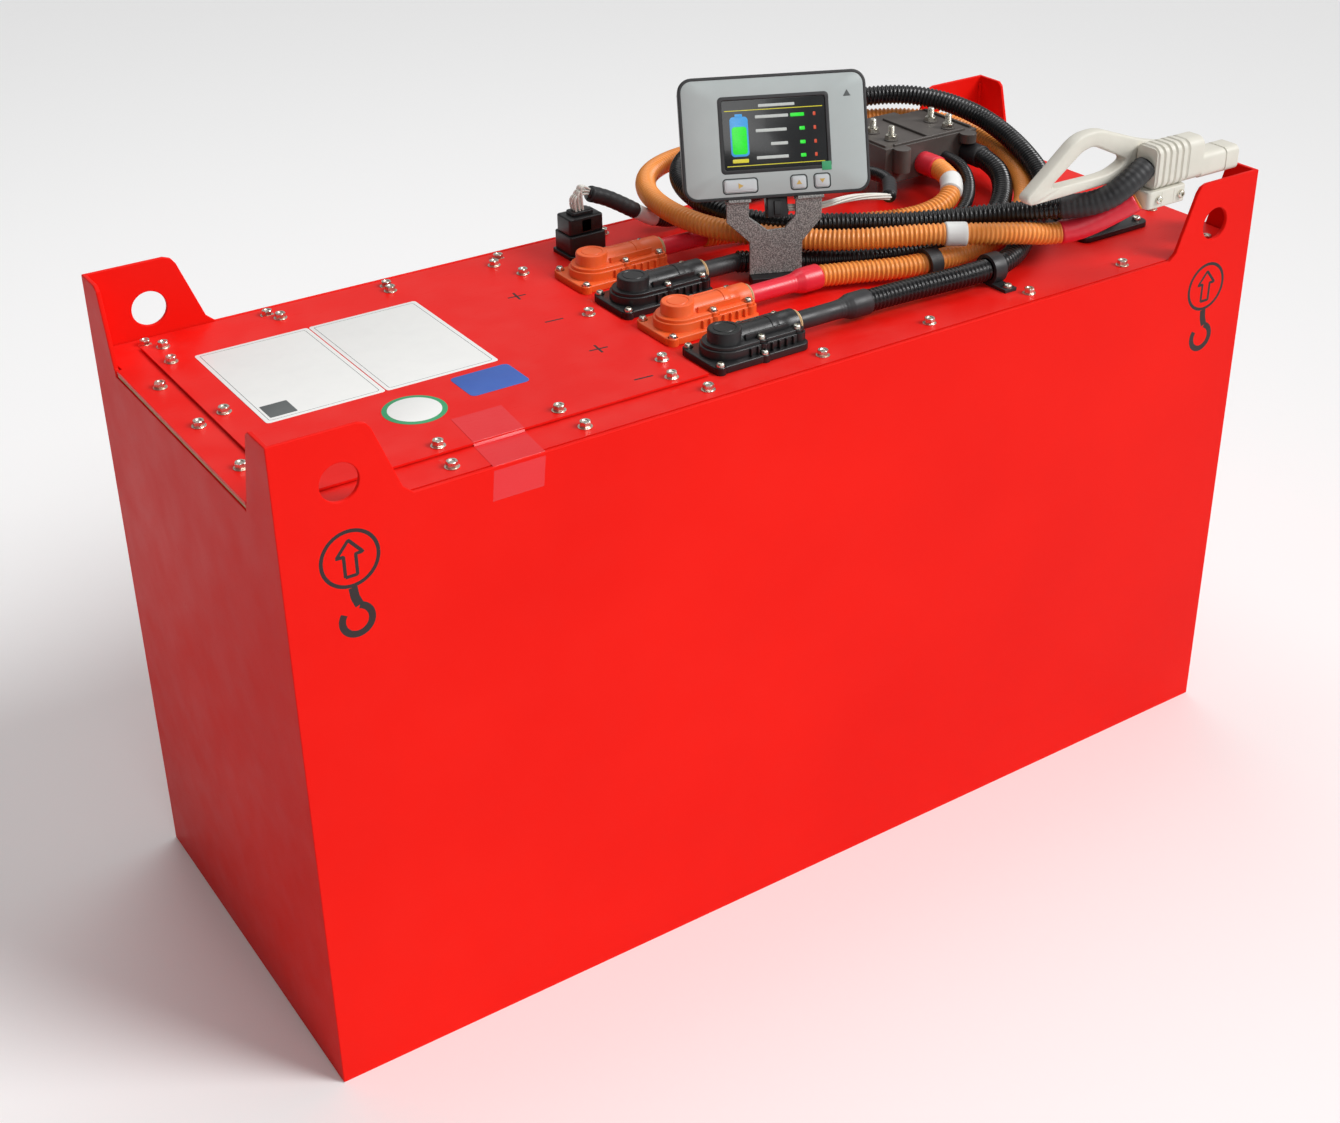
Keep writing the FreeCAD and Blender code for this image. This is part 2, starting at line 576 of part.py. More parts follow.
node(fuse("vent_valve_body",
          rod("vent_disc", "vent_disc_radius", "vent_disc_thick", "vent_x", "vent_y",
              VENT_SEAT),
          rod("vent_stem", "vent_stem_radius", 10.2, "vent_x", "vent_y", VENT_SEAT)),
     "vent_valve")
helix = doc.addObject("Part::Helix", "vent_helix")
SPRING_HIGH = "vent_cap_height - vent_wall - vent_disc_thick - 2 * vent_wire_radius - 0.1"
bind(helix, Radius="vent_spring_radius", Height=SPRING_HIGH, Pitch="(" + SPRING_HIGH + ") / 2.5")
place(helix, "vent_x", "vent_y", VENT_SEAT + " + vent_disc_thick + vent_wire_radius + 0.05")
ring = doc.addObject("Part::Circle", "vent_wire")
ring.Placement = FreeCAD.Placement(FreeCAD.Vector(), FreeCAD.Rotation(FreeCAD.Vector(1, 0, 0), 90))
bind(ring, Radius="vent_wire_radius")
place(ring, "vent_x + vent_spring_radius", "vent_y",
      VENT_SEAT + " + vent_disc_thick + vent_wire_radius + 0.05")
spring = doc.addObject("Part::Sweep", "vent_spring_body")
spring.Sections = [ring]
spring.Spine = (helix, [])
spring.Solid = True
spring.Frenet = True
node(spring, "vent_spring")
for i in (-1, 1):
    for j in (-1, 1):
        accessory_bolts.append(hexagon("vent_bolt_%d_%d" % (i + 1, j + 1), 4, 4,
                                       "vent_x + %d * 0.393 * vent_side" % i,
                                       "vent_y + %d * 0.393 * vent_side" % j, VENT_SEAT))
node(group("accessory_bolt_set", accessory_bolts), "accessory_screws")


# ---------------------------------------------------------------- display on its bracket
def lean(item):
    """Set a shape drawn in the display's own frame on the bracket, turned and tilted."""
    item.setExpression("Placement", cell(
        "placement(vector(display_x; display_y; display_base); "
        "rotation(-display_turn; 0; -display_tilt))"))
    return item


def turn(item):
    """Set a shape drawn in the bracket's own frame, turned but upright."""
    item.setExpression("Placement", cell(
        "placement(vector(display_x; display_y + bracket_back; 0); "
        "rotation(-display_turn; 0; 0))"))
    return item


KEYS = (("key_left", -35, 30), ("key_middle", 20, 13), ("key_right", 42, 13))
key_holes = []
domes = []
for label, mid, wide in KEYS:
    key_holes.append(span(label + "_hole", "%s - %s / 2 - key_gap" % (mid, wide),
                          "%s + %s / 2 + key_gap" % (mid, wide), -1, "bezel_thick + 1",
                          "key_up - key_gap", "key_up + key_height + key_gap"))
    domes.append(rod(label + "_dome", 3, 1.6, mid, 5.4, "key_up + key_height / 2", "y"))
    front = span(label + "_front", "%s - %s / 2" % (mid, wide), "%s + %s / 2" % (mid, wide),
                 -0.5, 3.2, "key_up", "key_up + key_height")
    flange = span(label + "_flange", "%s - %s / 2 - 1.5" % (mid, wide),
                  "%s + %s / 2 + 1.5" % (mid, wide), 3.2, 4.2, "key_up - 1.5",
                  "key_up + key_height + 1.5")
    node(lean(group(label + "_set", [fuse(label + "_body", front, flange)])), label)
window = span("screen_window", "-screen_width / 2", "screen_width / 2", -1, "bezel_thick + 1",
              "screen_up", "screen_up + screen_height")
bezel = cut("bezel_body",
            box("bezel_block", "display_width", "bezel_thick", "display_height",
                "-display_width / 2", 0, 0), window, *key_holes)
node(lean(group("bezel_set", [bezel])), "display_bezel")
case = cut("case_body",
           span("case_block", "2 - display_width / 2", "display_width / 2 - 2", "bezel_thick",
                "display_depth", 0, "display_height - 2"),
           span("case_hollow", "4 - display_width / 2", "display_width / 2 - 4", "0",
                "display_depth - 2", 2, "display_height - 4"))
node(lean(group("case_set", [case])), "display_case")
screen = fuse("screen_body",
              span("screen_panel", "-screen_width / 2 - 2", "screen_width / 2 + 2",
                   "bezel_thick", 7, "screen_up - 2", "screen_up + screen_height + 2"),
              span("screen_glass", "0.2 - screen_width / 2", "screen_width / 2 - 0.2",
                   1, "bezel_thick", "screen_up + 0.2", "screen_up + screen_height - 0.2"))
node(lean(group("screen_set", [screen])), "display_screen")
board = fuse("board_body", box("board_plate", 160, 1.6, 102, -80, 7, 4), *domes)
node(lean(group("board_set", [board])), "display_board")
node(lean(group("display_plug_set", [box("display_plug_body", 20, 12, 18, -10, 8, -18)])),
     "display_plug")
arms = outline("bracket_outline", [
    ("-bracket_neck / 2", "bracket_foot"), ("bracket_neck / 2", "bracket_foot"),
    ("bracket_neck / 2", "bracket_foot + 30"), ("bracket_right", "bracket_foot + 52"),
    ("bracket_right", "bracket_top"), ("bracket_right - 25", "bracket_top"),
    ("bracket_right - 25", "bracket_foot + 56"), (8, "bracket_foot + 44"),
    (-8, "bracket_foot + 43"), ("21 - bracket_left", "bracket_foot + 57"),
    ("21 - bracket_left", "bracket_top"), ("-bracket_left", "bracket_top"),
    ("-bracket_left", "bracket_foot + 53"), ("-bracket_neck / 2", "bracket_foot + 32")],
    "bracket_thick")
seats = [span("bracket_seat_%d" % i, low, high, 0, 18, "-bracket_thick", 0)
         for i, (low, high) in enumerate((("-bracket_left", "21 - bracket_left"),
                                          ("bracket_right - 25", "bracket_right")))]
node(fuse("bracket_body", turn(group("bracket_arms", [arms])),
          lean(group("bracket_seats", seats))), "display_bracket")
node(turn(group("foot_set", [box("foot_body", "bracket_neck", "foot_depth",
                                 "bracket_foot - rim_height", "-bracket_neck / 2",
                                 "-foot_depth", "rim_height")])), "display_foot")

# ---------------------------------------------------------------- charge inlet
inlet_block = span("inlet_block", "inlet_left", "inlet_right", "inlet_front", "inlet_back",
                   "inlet_low", "inlet_top")
inlet_parts = [inlet_block,
               span("inlet_lip", "inlet_left + 17", "inlet_left + 89", "inlet_back - 1",
                    "inlet_back + 10", "inlet_top - 4", "inlet_top"),
               rod("inlet_ear_left", 9, 25, "inlet_left + 17", "inlet_front - 6",
                   "inlet_top - 25"),
               rod("inlet_ear_right", 9, 10, "inlet_right - 17", "inlet_front - 6",
                   "inlet_top - 10")]
studs = []
STUD_SPOTS = ((25, 22), (25, 52), (99, 18), (99, 46))
for i, (right, back) in enumerate(STUD_SPOTS):
    x = "inlet_left + %d" % right
    y = "inlet_front + %d" % back
    studs.append(fuse("inlet_stud_%d" % i,
                      rod("inlet_rod_%d" % i, "inlet_stud_radius", "inlet_stud_height", x, y,
                          "inlet_top"),
                      hexagon("inlet_nut_%d" % i, 6.5, 5.5, x, y, "inlet_top")))
for i, (right, back) in enumerate(((14, 14), (14, 70), (111, 14), (111, 70))):
    inlet_parts.append(rod("inlet_leg_%d" % i, "inlet_leg_radius", "inlet_low - rim_height",
                           "inlet_left + %d" % right, "inlet_front + %d" % back,
                           "rim_height"))
node(cut("inlet_body_cut", fuse("inlet_solid", *inlet_parts),
         span("inlet_mouth", "inlet_left + 8", "inlet_right - 8", "inlet_front + 36",
              "inlet_back + 1", "inlet_low + 6", "inlet_top - 6")), "inlet_body")
node(group("inlet_stud_set", studs), "inlet_studs")
MOUTH_MID = "(inlet_low + inlet_top) / 2"
node(group("inlet_contact_set", [
    rod("inlet_contact_plus", 8, 34, "inlet_left + 33", "inlet_front + 36", MOUTH_MID, "y"),
    rod("inlet_contact_minus", 8, 34, "inlet_right - 33", "inlet_front + 36", MOUTH_MID, "y"),
    rod("inlet_pilot_a", 3, 26, "(inlet_left + inlet_right) / 2 - 6", "inlet_front + 36",
        MOUTH_MID, "y"),
    rod("inlet_pilot_b", 3, 26, "(inlet_left + inlet_right) / 2 + 6", "inlet_front + 36",
        MOUTH_MID, "y")]), "inlet_contacts")

# ---------------------------------------------------------------- plug for the vehicle
HALF = "plug_width / 2"
plug_solid = fuse("plug_solid",
                  span("plug_rear_block", "plug_rear", "plug_step", "plug_y - " + HALF,
                       "plug_y + " + HALF, "plug_rest", "plug_top"),
                  span("plug_nose_block", "plug_step - 1", "plug_tip",
                       "plug_y - %s + 1" % HALF, "plug_y + %s - 1" % HALF, "plug_rest",
                       "plug_nose_top"))
mouths = [span("plug_mouth_%d" % (side + 1), "plug_tip - plug_mouth", "plug_tip + 1",
               "plug_y + %d * 6.2 - 4.6" % side, "plug_y + %d * 6.2 + 4.6" % side,
               "plug_rest + 4", "plug_nose_top - 4") for side in (-1, 1)]
node(cut("plug_housing_body", plug_solid, *mouths), "plug_housing")
node(group("plug_contact_set", [
    rod("plug_contact_%d" % (side + 1), 3.2, 17, "plug_tip - plug_mouth",
        "plug_y + %d * 6.2" % side, "(plug_rest + plug_nose_top) / 2", "x")
    for side in (-1, 1)]), "plug_contacts")
clamp_low = span("plug_clamp_body", "plug_rear - 8", "plug_clamp_end", "plug_y - " + HALF,
                 "plug_y + " + HALF, "plug_clamp_low", "plug_rest")
node(clamp_low, "plug_clamp")
node(group("plug_bolt_set", [
    rod("plug_bolt_%d" % i, 3.5, 3, reach, "plug_y - %s - 3" % HALF,
        "(plug_clamp_low + plug_rest) / 2", "y")
    for i, reach in enumerate(("plug_rear + 6", "plug_clamp_end - 8"))]), "plug_screws")


def grip(points):
    return [("plug_rear + %d" % right, "plug_rest + %d" % up) for right, up in points]


handle_out = outline("handle_outer", grip([(52, 10), (52, 30), (12, 40), (-52, 62), (-72, 60),
                                           (-136, 14), (-132, 5), (0, 6)]), "handle_thick")
place(handle_out, 0, "plug_y + %s + handle_thick" % HALF, 0)
handle_in = outline("handle_inner", grip([(-6, 25), (-54, 46), (-66, 45), (-110, 16),
                                          (-28, 16)]), "handle_thick + 2")
place(handle_in, 0, "plug_y + %s + handle_thick + 1" % HALF, 0)
node(cut("plug_handle_body", handle_out, handle_in), "plug_handle")

# ---------------------------------------------------------------- data connector and gland
node(box("com_header_body", "com_length", "com_width", "com_height",
         "com_x - com_length / 2", "com_y - com_width / 2", "rim_height"), "com_header")
COM_TOP = "rim_height + com_height"
node(fuse("com_plug_body",
          box("com_plug_block", "com_length - 6", "com_width - 10", "com_plug_height",
              "com_x - com_length / 2 + 3", "com_y - com_width / 2 + 5", COM_TOP),
          box("com_plug_neck", 20, 14, 24, "com_x - 10", "com_y - 7",
              COM_TOP + " + com_plug_height")), "com_plug")
node(box("signal_gland_body", "gland_length", 20, 18, "gland_x - gland_length", 14,
         "rim_height"), "signal_gland")

# ---------------------------------------------------------------- cables
# Each cable is straight runs joined by tangent arcs; the corners are in millimetres.
DISCHARGE_MINUS = [
    (83, -136, 557), (125, -137, 557), (170, -140, 557), (207, -142, 557), (245, -139, 557),
    (280, -122, 558), (312, -98, 561), (346, -77, 567), (377, -53, 573), (401, -21, 580),
    (417, 20, 588), (430, 66, 595), (433, 112, 603), (421, 156, 610), (396, 192, 613),
    (358, 218, 610), (312, 232, 606), (262, 238, 600), (212, 236, 597), (165, 226, 595),
    (122, 206, 593), (90, 178, 591), (70, 142, 589), (62, 100, 587), (66, 58, 584),
    (85, 25, 582), (116, 1, 580.5), (150, -16, 580), (192, -47, 580), (236, -76, 584),
    (275, -110, 592), (304, -142, 600), (332, -171, 608), (354, -183, 625),
    (377, -181, 638)]
DISCHARGE_PLUS = [
    (83, -63.5, 557), (118, -73, 556), (153, -88, 556), (189, -97, 557), (228, -98, 557),
    (268, -91, 557), (307, -76, 557), (343, -54, 558), (375, -28, 561), (402, 6, 565),
    (424, 44, 569), (438, 86, 574), (440, 130, 579), (427, 168, 583), (398, 197, 585),
    (355, 222, 584), (308, 238, 581), (258, 247, 579), (208, 250, 578), (158, 247, 578),
    (112, 236, 579), (74, 212, 580), (48, 176, 580), (35, 134, 580), (32, 92, 580),
    (38, 52, 580), (57, 20, 579), (87, -4, 576), (116, -36, 576), (150, -66, 580),
    (191, -92, 583.5), (232, -117, 582.5), (270, -134, 580), (304, -143, 574),
    (338, -160, 583), (369, -181, 607)]
CHARGE_PLUS = [
    (55, 81.5, 557), (90, 79, 555), (128, 66, 553), (168, 48, 553), (208, 31, 553),
    (244, 15, 553.5), (272, 7, 556), (297, 7, 561), (317, 17, 568), (330, 36, 575),
    (334, 60, 577)]
CHARGE_MINUS = [
    (44, 9, 557), (66, 2, 554.5), (92, -13, 553), (124, -31, 553), (162, -48, 553),
    (205, -59, 553), (250, -62, 553), (294, -53, 553), (332, -33, 556), (362, -9, 562),
    (382, 15, 569), (392, 38, 574), (394, 60, 577)]
INLET_SIGNAL = [
    (364, 84, 577), (364, 66, 577), (359, 46, 573), (347, 25, 567), (327, 4, 560),
    (300, -11, 552.5), (271, -15, 549.5), (240, -12, 548.8), (206, -6, 548.8),
    (172, 3, 548.8), (140, 13, 548.8), (112, 24, 549)]
DATA_CABLE = [
    (-34, 150, 600), (-16, 149.6, 593), (4, 149, 581), (24, 148, 568), (44, 147, 556),
    (67, 149, 550.5), (97, 154, 549), (130, 161, 549), (165, 167, 549), (199, 165, 551),
    (228, 154, 557), (248, 134, 566), (259, 109, 575), (263, 82, 581), (261, 56, 583),
    (250, 34, 582), (234, 18, 579)]
DATA_WIRES = [
    (234, 18, 579), (208, 8, 588), (180, -1, 596), (152, -11, 602), (126, -21, 606),
    (102, -26, 609), (81.1, -17.2, 610.8)]


def centreline(points):
    """Straight runs with a tangent arc at each corner, as far as the shorter run allows."""
    spots = [FreeCAD.Vector(*p) for p in points]
    edges = []
    radii = []
    start = spots[0]
    for before, corner, after in zip(spots, spots[1:], spots[2:]):
        inward = (corner - before).normalize()
        outward = (after - corner).normalize()
        half = inward.getAngle(outward) / 2
        reach = 0.45 * min((corner - before).Length, (after - corner).Length)
        radius = reach / math.tan(half)
        radii.append(radius)
        first = corner - inward * reach
        last = corner + outward * reach
        normal = (outward - inward).normalize()
        centre = corner + normal * (radius / math.cos(half))
        middle = centre - normal * radius
        edges.append(Part.LineSegment(start, first).toShape())
        edges.append(Part.Arc(first, middle, last).toShape())
        start = last
    edges.append(Part.LineSegment(start, spots[-1]).toShape())
    return Part.Wire(edges), radii


def cable(label, points, radius_name):
    radius = size[radius_name]
    wire, radii = centreline(points)
    towards = FreeCAD.Vector(*points[1]) - FreeCAD.Vector(*points[0])
    section = Part.Wire([Part.makeCircle(radius, FreeCAD.Vector(*points[0]), towards)])
    shell_maker = wire.makePipeShell([section], True, False, 1)
    item = doc.addObject("Part::Feature", label)
    item.Shape = shell_maker
    item.Placement = FreeCAD.Placement()
    want = math.pi * radius ** 2 * wire.Length
    print("%s: length %.0f, least radius %.0f (%.1f diameters), volume %.4f of section x length"
          % (label, wire.Length, min(radii), min(radii) / (2 * radius),
             item.Shape.Volume / want))
    return node(item, label)


cable("discharge_minus_cable", DISCHARGE_MINUS, "conduit_radius")
cable("discharge_plus_cable", DISCHARGE_PLUS, "conduit_radius")
cable("charge_plus_cable", CHARGE_PLUS, "conduit_radius")
cable("charge_minus_cable", CHARGE_MINUS, "conduit_radius")
cable("inlet_signal_cable", INLET_SIGNAL, "signal_radius")
cable("data_cable", DATA_CABLE, "signal_radius")
cable("data_wires", DATA_WIRES, "wire_radius")

# ---------------------------------------------------------------- check and export
doc.recompute()
for item in doc.Objects:
    bad = [word for word in item.State if word in ("Invalid", "Error")]
    if bad:
        raise RuntimeError("%s: %s" % (item.Name, bad))
os.makedirs("parts", exist_ok=True)
for item in nodes:
    if item.Shape.isNull() or not item.Shape.isValid():
        raise RuntimeError("%s has no sound shape" % item.Label)
    item.Shape.exportStep("parts/%s.step" % item.Label)
    extent = item.Shape.BoundBox
    print("%-24s %3d solids  x %7.1f %7.1f  y %7.1f %7.1f  z %6.1f %6.1f" % (
        item.Label, len(item.Shape.Solids), extent.XMin, extent.XMax, extent.YMin,
        extent.YMax, extent.ZMin, extent.ZMax))
print("%d nodes" % len(nodes))
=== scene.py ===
import math
import bmesh
import bpy
import numpy as np
from mathutils import Matrix, Vector


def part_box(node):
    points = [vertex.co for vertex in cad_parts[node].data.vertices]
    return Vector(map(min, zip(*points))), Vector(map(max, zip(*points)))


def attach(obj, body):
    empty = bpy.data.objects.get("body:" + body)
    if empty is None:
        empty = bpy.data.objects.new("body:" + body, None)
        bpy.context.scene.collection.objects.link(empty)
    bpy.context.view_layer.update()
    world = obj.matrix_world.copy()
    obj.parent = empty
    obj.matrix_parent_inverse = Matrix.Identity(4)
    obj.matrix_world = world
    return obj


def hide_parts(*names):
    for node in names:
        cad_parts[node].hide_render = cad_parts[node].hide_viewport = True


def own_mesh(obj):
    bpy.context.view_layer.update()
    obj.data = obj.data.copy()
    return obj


# A steel-cased traction battery: red tray and lid, four cable connectors, pressure vent,
# charge inlet, display on a bracket, truck plug, and the cables. The mesh helpers work in
# metres; in_mm and what is drawn for it work in millimetres. All of it is in the frame's
# own axes, apart from the display, which is drawn upright and turned into place.

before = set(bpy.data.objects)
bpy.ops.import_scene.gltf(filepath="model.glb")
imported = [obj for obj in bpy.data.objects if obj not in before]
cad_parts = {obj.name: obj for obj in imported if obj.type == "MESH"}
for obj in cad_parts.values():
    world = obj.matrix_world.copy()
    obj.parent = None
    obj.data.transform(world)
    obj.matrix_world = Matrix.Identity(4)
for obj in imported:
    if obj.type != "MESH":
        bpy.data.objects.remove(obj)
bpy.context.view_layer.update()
MM = 0.001
FULL_TURN = 2 * math.pi
QUARTER_TURN = math.pi / 2


def link(name, data):
    """A new object in the scene."""
    made = bpy.data.objects.new(name, data)
    bpy.context.collection.objects.link(made)
    return made


# ---------------------------------------------------------------- camera
def make_camera():
    """The camera stands front left of the battery, above its lid, and looks down at it. Its
    place and axes were solved from the tray's straight edges."""
    lens = bpy.data.cameras.new("camera")
    lens.sensor_width = 36.0
    lens.lens = 50.945
    lens.shift_x = -0.0006
    lens.shift_y = -0.0694
    camera = link("camera", lens)
    right = (0.832769, -0.553490, -0.012051)
    down = (-0.268012, -0.384008, -0.883576)
    ahead = (0.484423, 0.739044, -0.468132)
    place = Matrix.Translation((-0.9283, -1.3544, 1.2233))
    axes = Matrix((right, [-v for v in down], [-v for v in ahead])).transposed()
    camera.matrix_world = place @ axes.to_4x4()
    bpy.context.scene.camera = camera


make_camera()

# ---------------------------------------------------------------- mesh helpers
SAME_POINT = 2e-6
FLAT = math.radians(0.4)
EASED_EDGE = math.radians(30)


def numbers(*values):
    """The values as an array of floats."""
    return np.array(values, float)


def circle(count, start=0.0, end=FULL_TURN, closed=False):
    """Cosines and sines of evenly spaced angles; closed repeats the first at the end."""
    angle = np.linspace(start, end, count, endpoint=closed)
    return np.cos(angle), np.sin(angle)


def settle(piece, material, body="pack", replaces=None):
    """Give a piece its material and its body, and hide the CAD node that it stands for."""
    piece.data.materials.clear()
    piece.data.materials.append(material)
    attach(piece, body)
    if replaces:
        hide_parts(replaces)
    return piece


def make_mesh(name, shape, material, body="pack", replaces=None):
    """One piece from points in metres and faces, with smooth shading."""
    points, faces = shape
    data = bpy.data.meshes.new(name)
    data.from_pydata(np.asarray(points, float).tolist(), [],
                     [list(map(int, face)) for face in faces])
    data.validate()
    work = bmesh.new()
    work.from_mesh(data)
    bmesh.ops.remove_doubles(work, verts=work.verts, dist=1e-6)
    bmesh.ops.recalc_face_normals(work, faces=work.faces)
    work.to_mesh(data)
    work.free()
    data.shade_smooth()
    return settle(link(name, data), material, body, replaces)


def in_mm(name, shape, material, body="pack", replaces=None, sharp=32):
    """A piece whose points are given in millimetres; its shading is split where two faces
    meet at more than the given number of degrees."""
    points, faces = shape
    piece = make_mesh(name, (np.asarray(points) * MM, faces), material, body, replaces)
    piece.data.set_sharp_from_angle(angle=math.radians(sharp))
    return piece


def grid_faces(rows, columns):
    """Quads between neighbouring rows of points; the last column joins the first."""
    row = np.arange(rows - 1)[:, None]
    column = np.arange(columns)[None, :]
    after = (column + 1) % columns
    quads = np.stack([row * columns + column, row * columns + after,
                      (row + 1) * columns + after, (row + 1) * columns + column], axis=-1)
    return quads.reshape(-1, 4).tolist()


def stack_rings(rings):
    """Rings of equal length joined by quads, with a flat cap on the first and the last."""
    rings = np.asarray(rings, float)
    count, sides = rings.shape[:2]
    faces = grid_faces(count, sides)
    faces.append(list(range(sides))[::-1])
    faces.append([(count - 1) * sides + i for i in range(sides)])
    return rings.reshape(-1, 3), faces


def join(parts):
    """Several (points, faces) pairs as one."""
    points, faces, first = [], [], 0
    for some_points, some_faces in parts:
        points.append(np.asarray(some_points, float))
        faces += [[i + first for i in face] for face in some_faces]
        first += len(some_points)
    return np.concatenate(points), faces


def rounded_rectangle(width, height, radius, steps=6):
    """A closed outline about the origin: four quarter circles of the given radius."""
    radius = max(min(radius, width / 2 - 1e-4, height / 2 - 1e-4), 1e-4)
    corners = []
    for quarter, (x, y) in enumerate(((1, 1), (-1, 1), (-1, -1), (1, -1))):
        start = quarter * QUARTER_TURN
        across, up = circle(steps, start, start + QUARTER_TURN, closed=True)
        corners.append(np.stack([x * (width / 2 - radius) + radius * across,
                                 y * (height / 2 - radius) + radius * up], axis=1))
    return np.concatenate(corners)


def slab(width, height, radius, low, high, ease, at=(0, 0, 0)):
    """A rounded plate: its outline drawn in x and y and carried from low to high in z, its
    two rims eased by quarter circles of radius ease."""
    across, up = circle(4, 0, QUARTER_TURN, closed=True)
    insets = np.concatenate([ease * (1 - up), ease * (1 - across)])
    levels = np.concatenate([low + ease * (1 - across), high - ease * (1 - up)])
    rings = []
    for inset, level in zip(insets, levels):
        line = rounded_rectangle(width - 2 * inset, height - 2 * inset, radius - inset)
        rings.append(np.column_stack([line, np.full(len(line), level)]))
    return shifted(stack_rings(rings), *at)


def turned(profile, sides=40, at=(0, 0, 0)):
    """A profile of (radius, height) pairs turned about the z axis; the ends are closed."""
    profile = np.asarray(profile, float)
    across, up = circle(sides)
    rings = np.stack([profile[:, :1] * across, profile[:, :1] * up,
                      np.repeat(profile[:, 1:], sides, axis=1)], axis=-1)
    return shifted(stack_rings(rings), *at)


def moved(shape, matrix):
    """A shape carried by a 4 by 4 matrix."""
    points, faces = shape
    matrix = np.array(matrix)
    return points @ matrix[:3, :3].T + matrix[:3, 3], faces


def shifted(shape, x, y, z):
    """A shape carried along by x, y and z."""
    return shape[0] + numbers(x, y, z), shape[1]


def spread(shape, spots):
    """A copy of a shape at each spot."""
    return [shifted(shape, *spot) for spot in spots]


def pairs(xs, y, reach, z):
    """Spots at each x, on both sides of y at the same reach."""
    return [(x, y + side * reach, z) for x in xs for side in (-1, 1)]


def axes_as(shape, *order):
    """A shape with its axes dealt out anew: 1, 2 or 3 for x, y or z, negative for backwards."""
    points, faces = shape
    return np.stack([math.copysign(1, way) * points[:, abs(way) - 1] for way in order],
                    axis=1), faces


def along_x(shape):
    """Turn a shape drawn up the z axis so that it points along +x."""
    return axes_as(shape, 3, 2, -1)


def along_y(shape):
    """Turn a shape drawn up the z axis so that it points along +y."""
    return axes_as(shape, 1, 3, -2)


def cleaned(data, distance):
    """Merge points closer than the distance, and neighbouring faces that lie flat."""
    work = bmesh.new()
    work.from_mesh(data)
    bmesh.ops.remove_doubles(work, verts=work.verts, dist=distance)
    bmesh.ops.dissolve_limit(work, angle_limit=FLAT, verts=work.verts, edges=work.edges)
    work.to_mesh(data)
    work.free()
    data.shade_smooth()


def eased(node, width, material, body="pack", segments=2):
    """A CAD piece with every edge sharper than 30 degrees rounded over, by a width in mm."""
    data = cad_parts[node].data.copy()
    data.name = node + "_eased"
    cleaned(data, SAME_POINT)
    piece = link(data.name, data)
    rounding = piece.modifiers.new("rounding", "BEVEL")
    rounding.width = width * MM
    rounding.segments = segments
    rounding.limit_method = "ANGLE"
    rounding.angle_limit = EASED_EDGE
    piece.modifiers.new("weights", "WEIGHTED_NORMAL").weight = 100
    return settle(piece, material, body, node)


def boolean(piece, operation, other):
    """Unite the piece's mesh with another one, or cut it; this comes before its other
    modifiers."""
    modifier = piece.modifiers.new("boolean", "BOOLEAN")
    modifier.operation = operation
    modifier.solver = "EXACT"
    modifier.object = other
    piece.modifiers.move(len(piece.modifiers) - 1, 0)
    bpy.context.view_layer.update()
    graph = bpy.context.evaluated_depsgraph_get()
    piece.data = bpy.data.meshes.new_from_object(piece.evaluated_get(graph))
    piece.modifiers.remove(modifier)


# ---------------------------------------------------------------- material helpers
def feed(socket, value):
    """Set a socket to a number or a colour, or link another node's output to it."""
    if isinstance(value, bpy.types.NodeSocket):
        socket.id_data.links.new(value, socket)
    else:
        socket.default_value = value


def add_node(tree, kind, output=0, inputs=None, **settings):
    """A new shader node with its settings and inputs; returns the output asked for."""
    made = tree.nodes.new("ShaderNode" + kind)
    for label, value in settings.items():
        setattr(made, label, value)
    for label, value in (inputs or {}).items():
        feed(made.inputs[label], value)
    return made.outputs[output]


def noise(tree, spot, scale, detail=3.0, stretch=None):
    """A noise of the given scale, drawn out along an axis where stretch says so."""
    if stretch:
        spot = add_node(tree, "Mapping", "Vector", {"Scale": stretch, "Vector": spot})
    return add_node(tree, "TexNoise", "Fac", {"Scale": scale, "Detail": detail, "Vector": spot})


def remap(tree, value, low, high, to_low=0.0, to_high=1.0):
    """Carry values between low and high over to another range, clamped at its ends."""
    return add_node(tree, "MapRange", "Result", {
        "Value": value, "From Min": low, "From Max": high, "To Min": to_low,
        "To Max": to_high})


def blend(tree, factor, first, second):
    """The first colour where the factor is 0, the second where it is 1."""
    return add_node(tree, "Mix", "Result", {"Factor": factor, "A": first, "B": second},
                    data_type="RGBA")


def bumped(tree, height, strength, distance):
    """A normal tilted by the slope of a height."""
    return add_node(tree, "Bump", "Normal", {"Strength": strength, "Distance": distance,
                                             "Height": height})


def combined(tree, operation, *values):
    """One arithmetic step on numbers or sockets."""
    return add_node(tree, "Math", 0, dict(enumerate(values)), operation=operation)


def object_spot(tree):
    """Where a point is on its own object, in metres."""
    return add_node(tree, "TexCoord", "Object")


SURFACE = (("Colour", "NodeSocketColor"), ("Roughness", "NodeSocketFloat"),
           ("Normal", "NodeSocketVector"))


def surface_group(name, colours, amounts, build):
    """A node group with colours and then numbers as inputs, whose build function returns a
    colour, a roughness and a normal."""
    tree = bpy.data.node_groups.new(name, "ShaderNodeTree")
    for label in colours + amounts:
        kind = "NodeSocketColor" if label in colours else "NodeSocketFloat"
        tree.interface.new_socket(name=label, in_out="INPUT", socket_type=kind)
    for label, kind in SURFACE:
        tree.interface.new_socket(name=label, in_out="OUTPUT", socket_type=kind)
    given = tree.nodes.new("NodeGroupInput").outputs
    end = tree.nodes.new("NodeGroupOutput")
    for (label, _), value in zip(SURFACE, build(tree, given, object_spot(tree))):
        feed(end.inputs[label], value)
    return tree


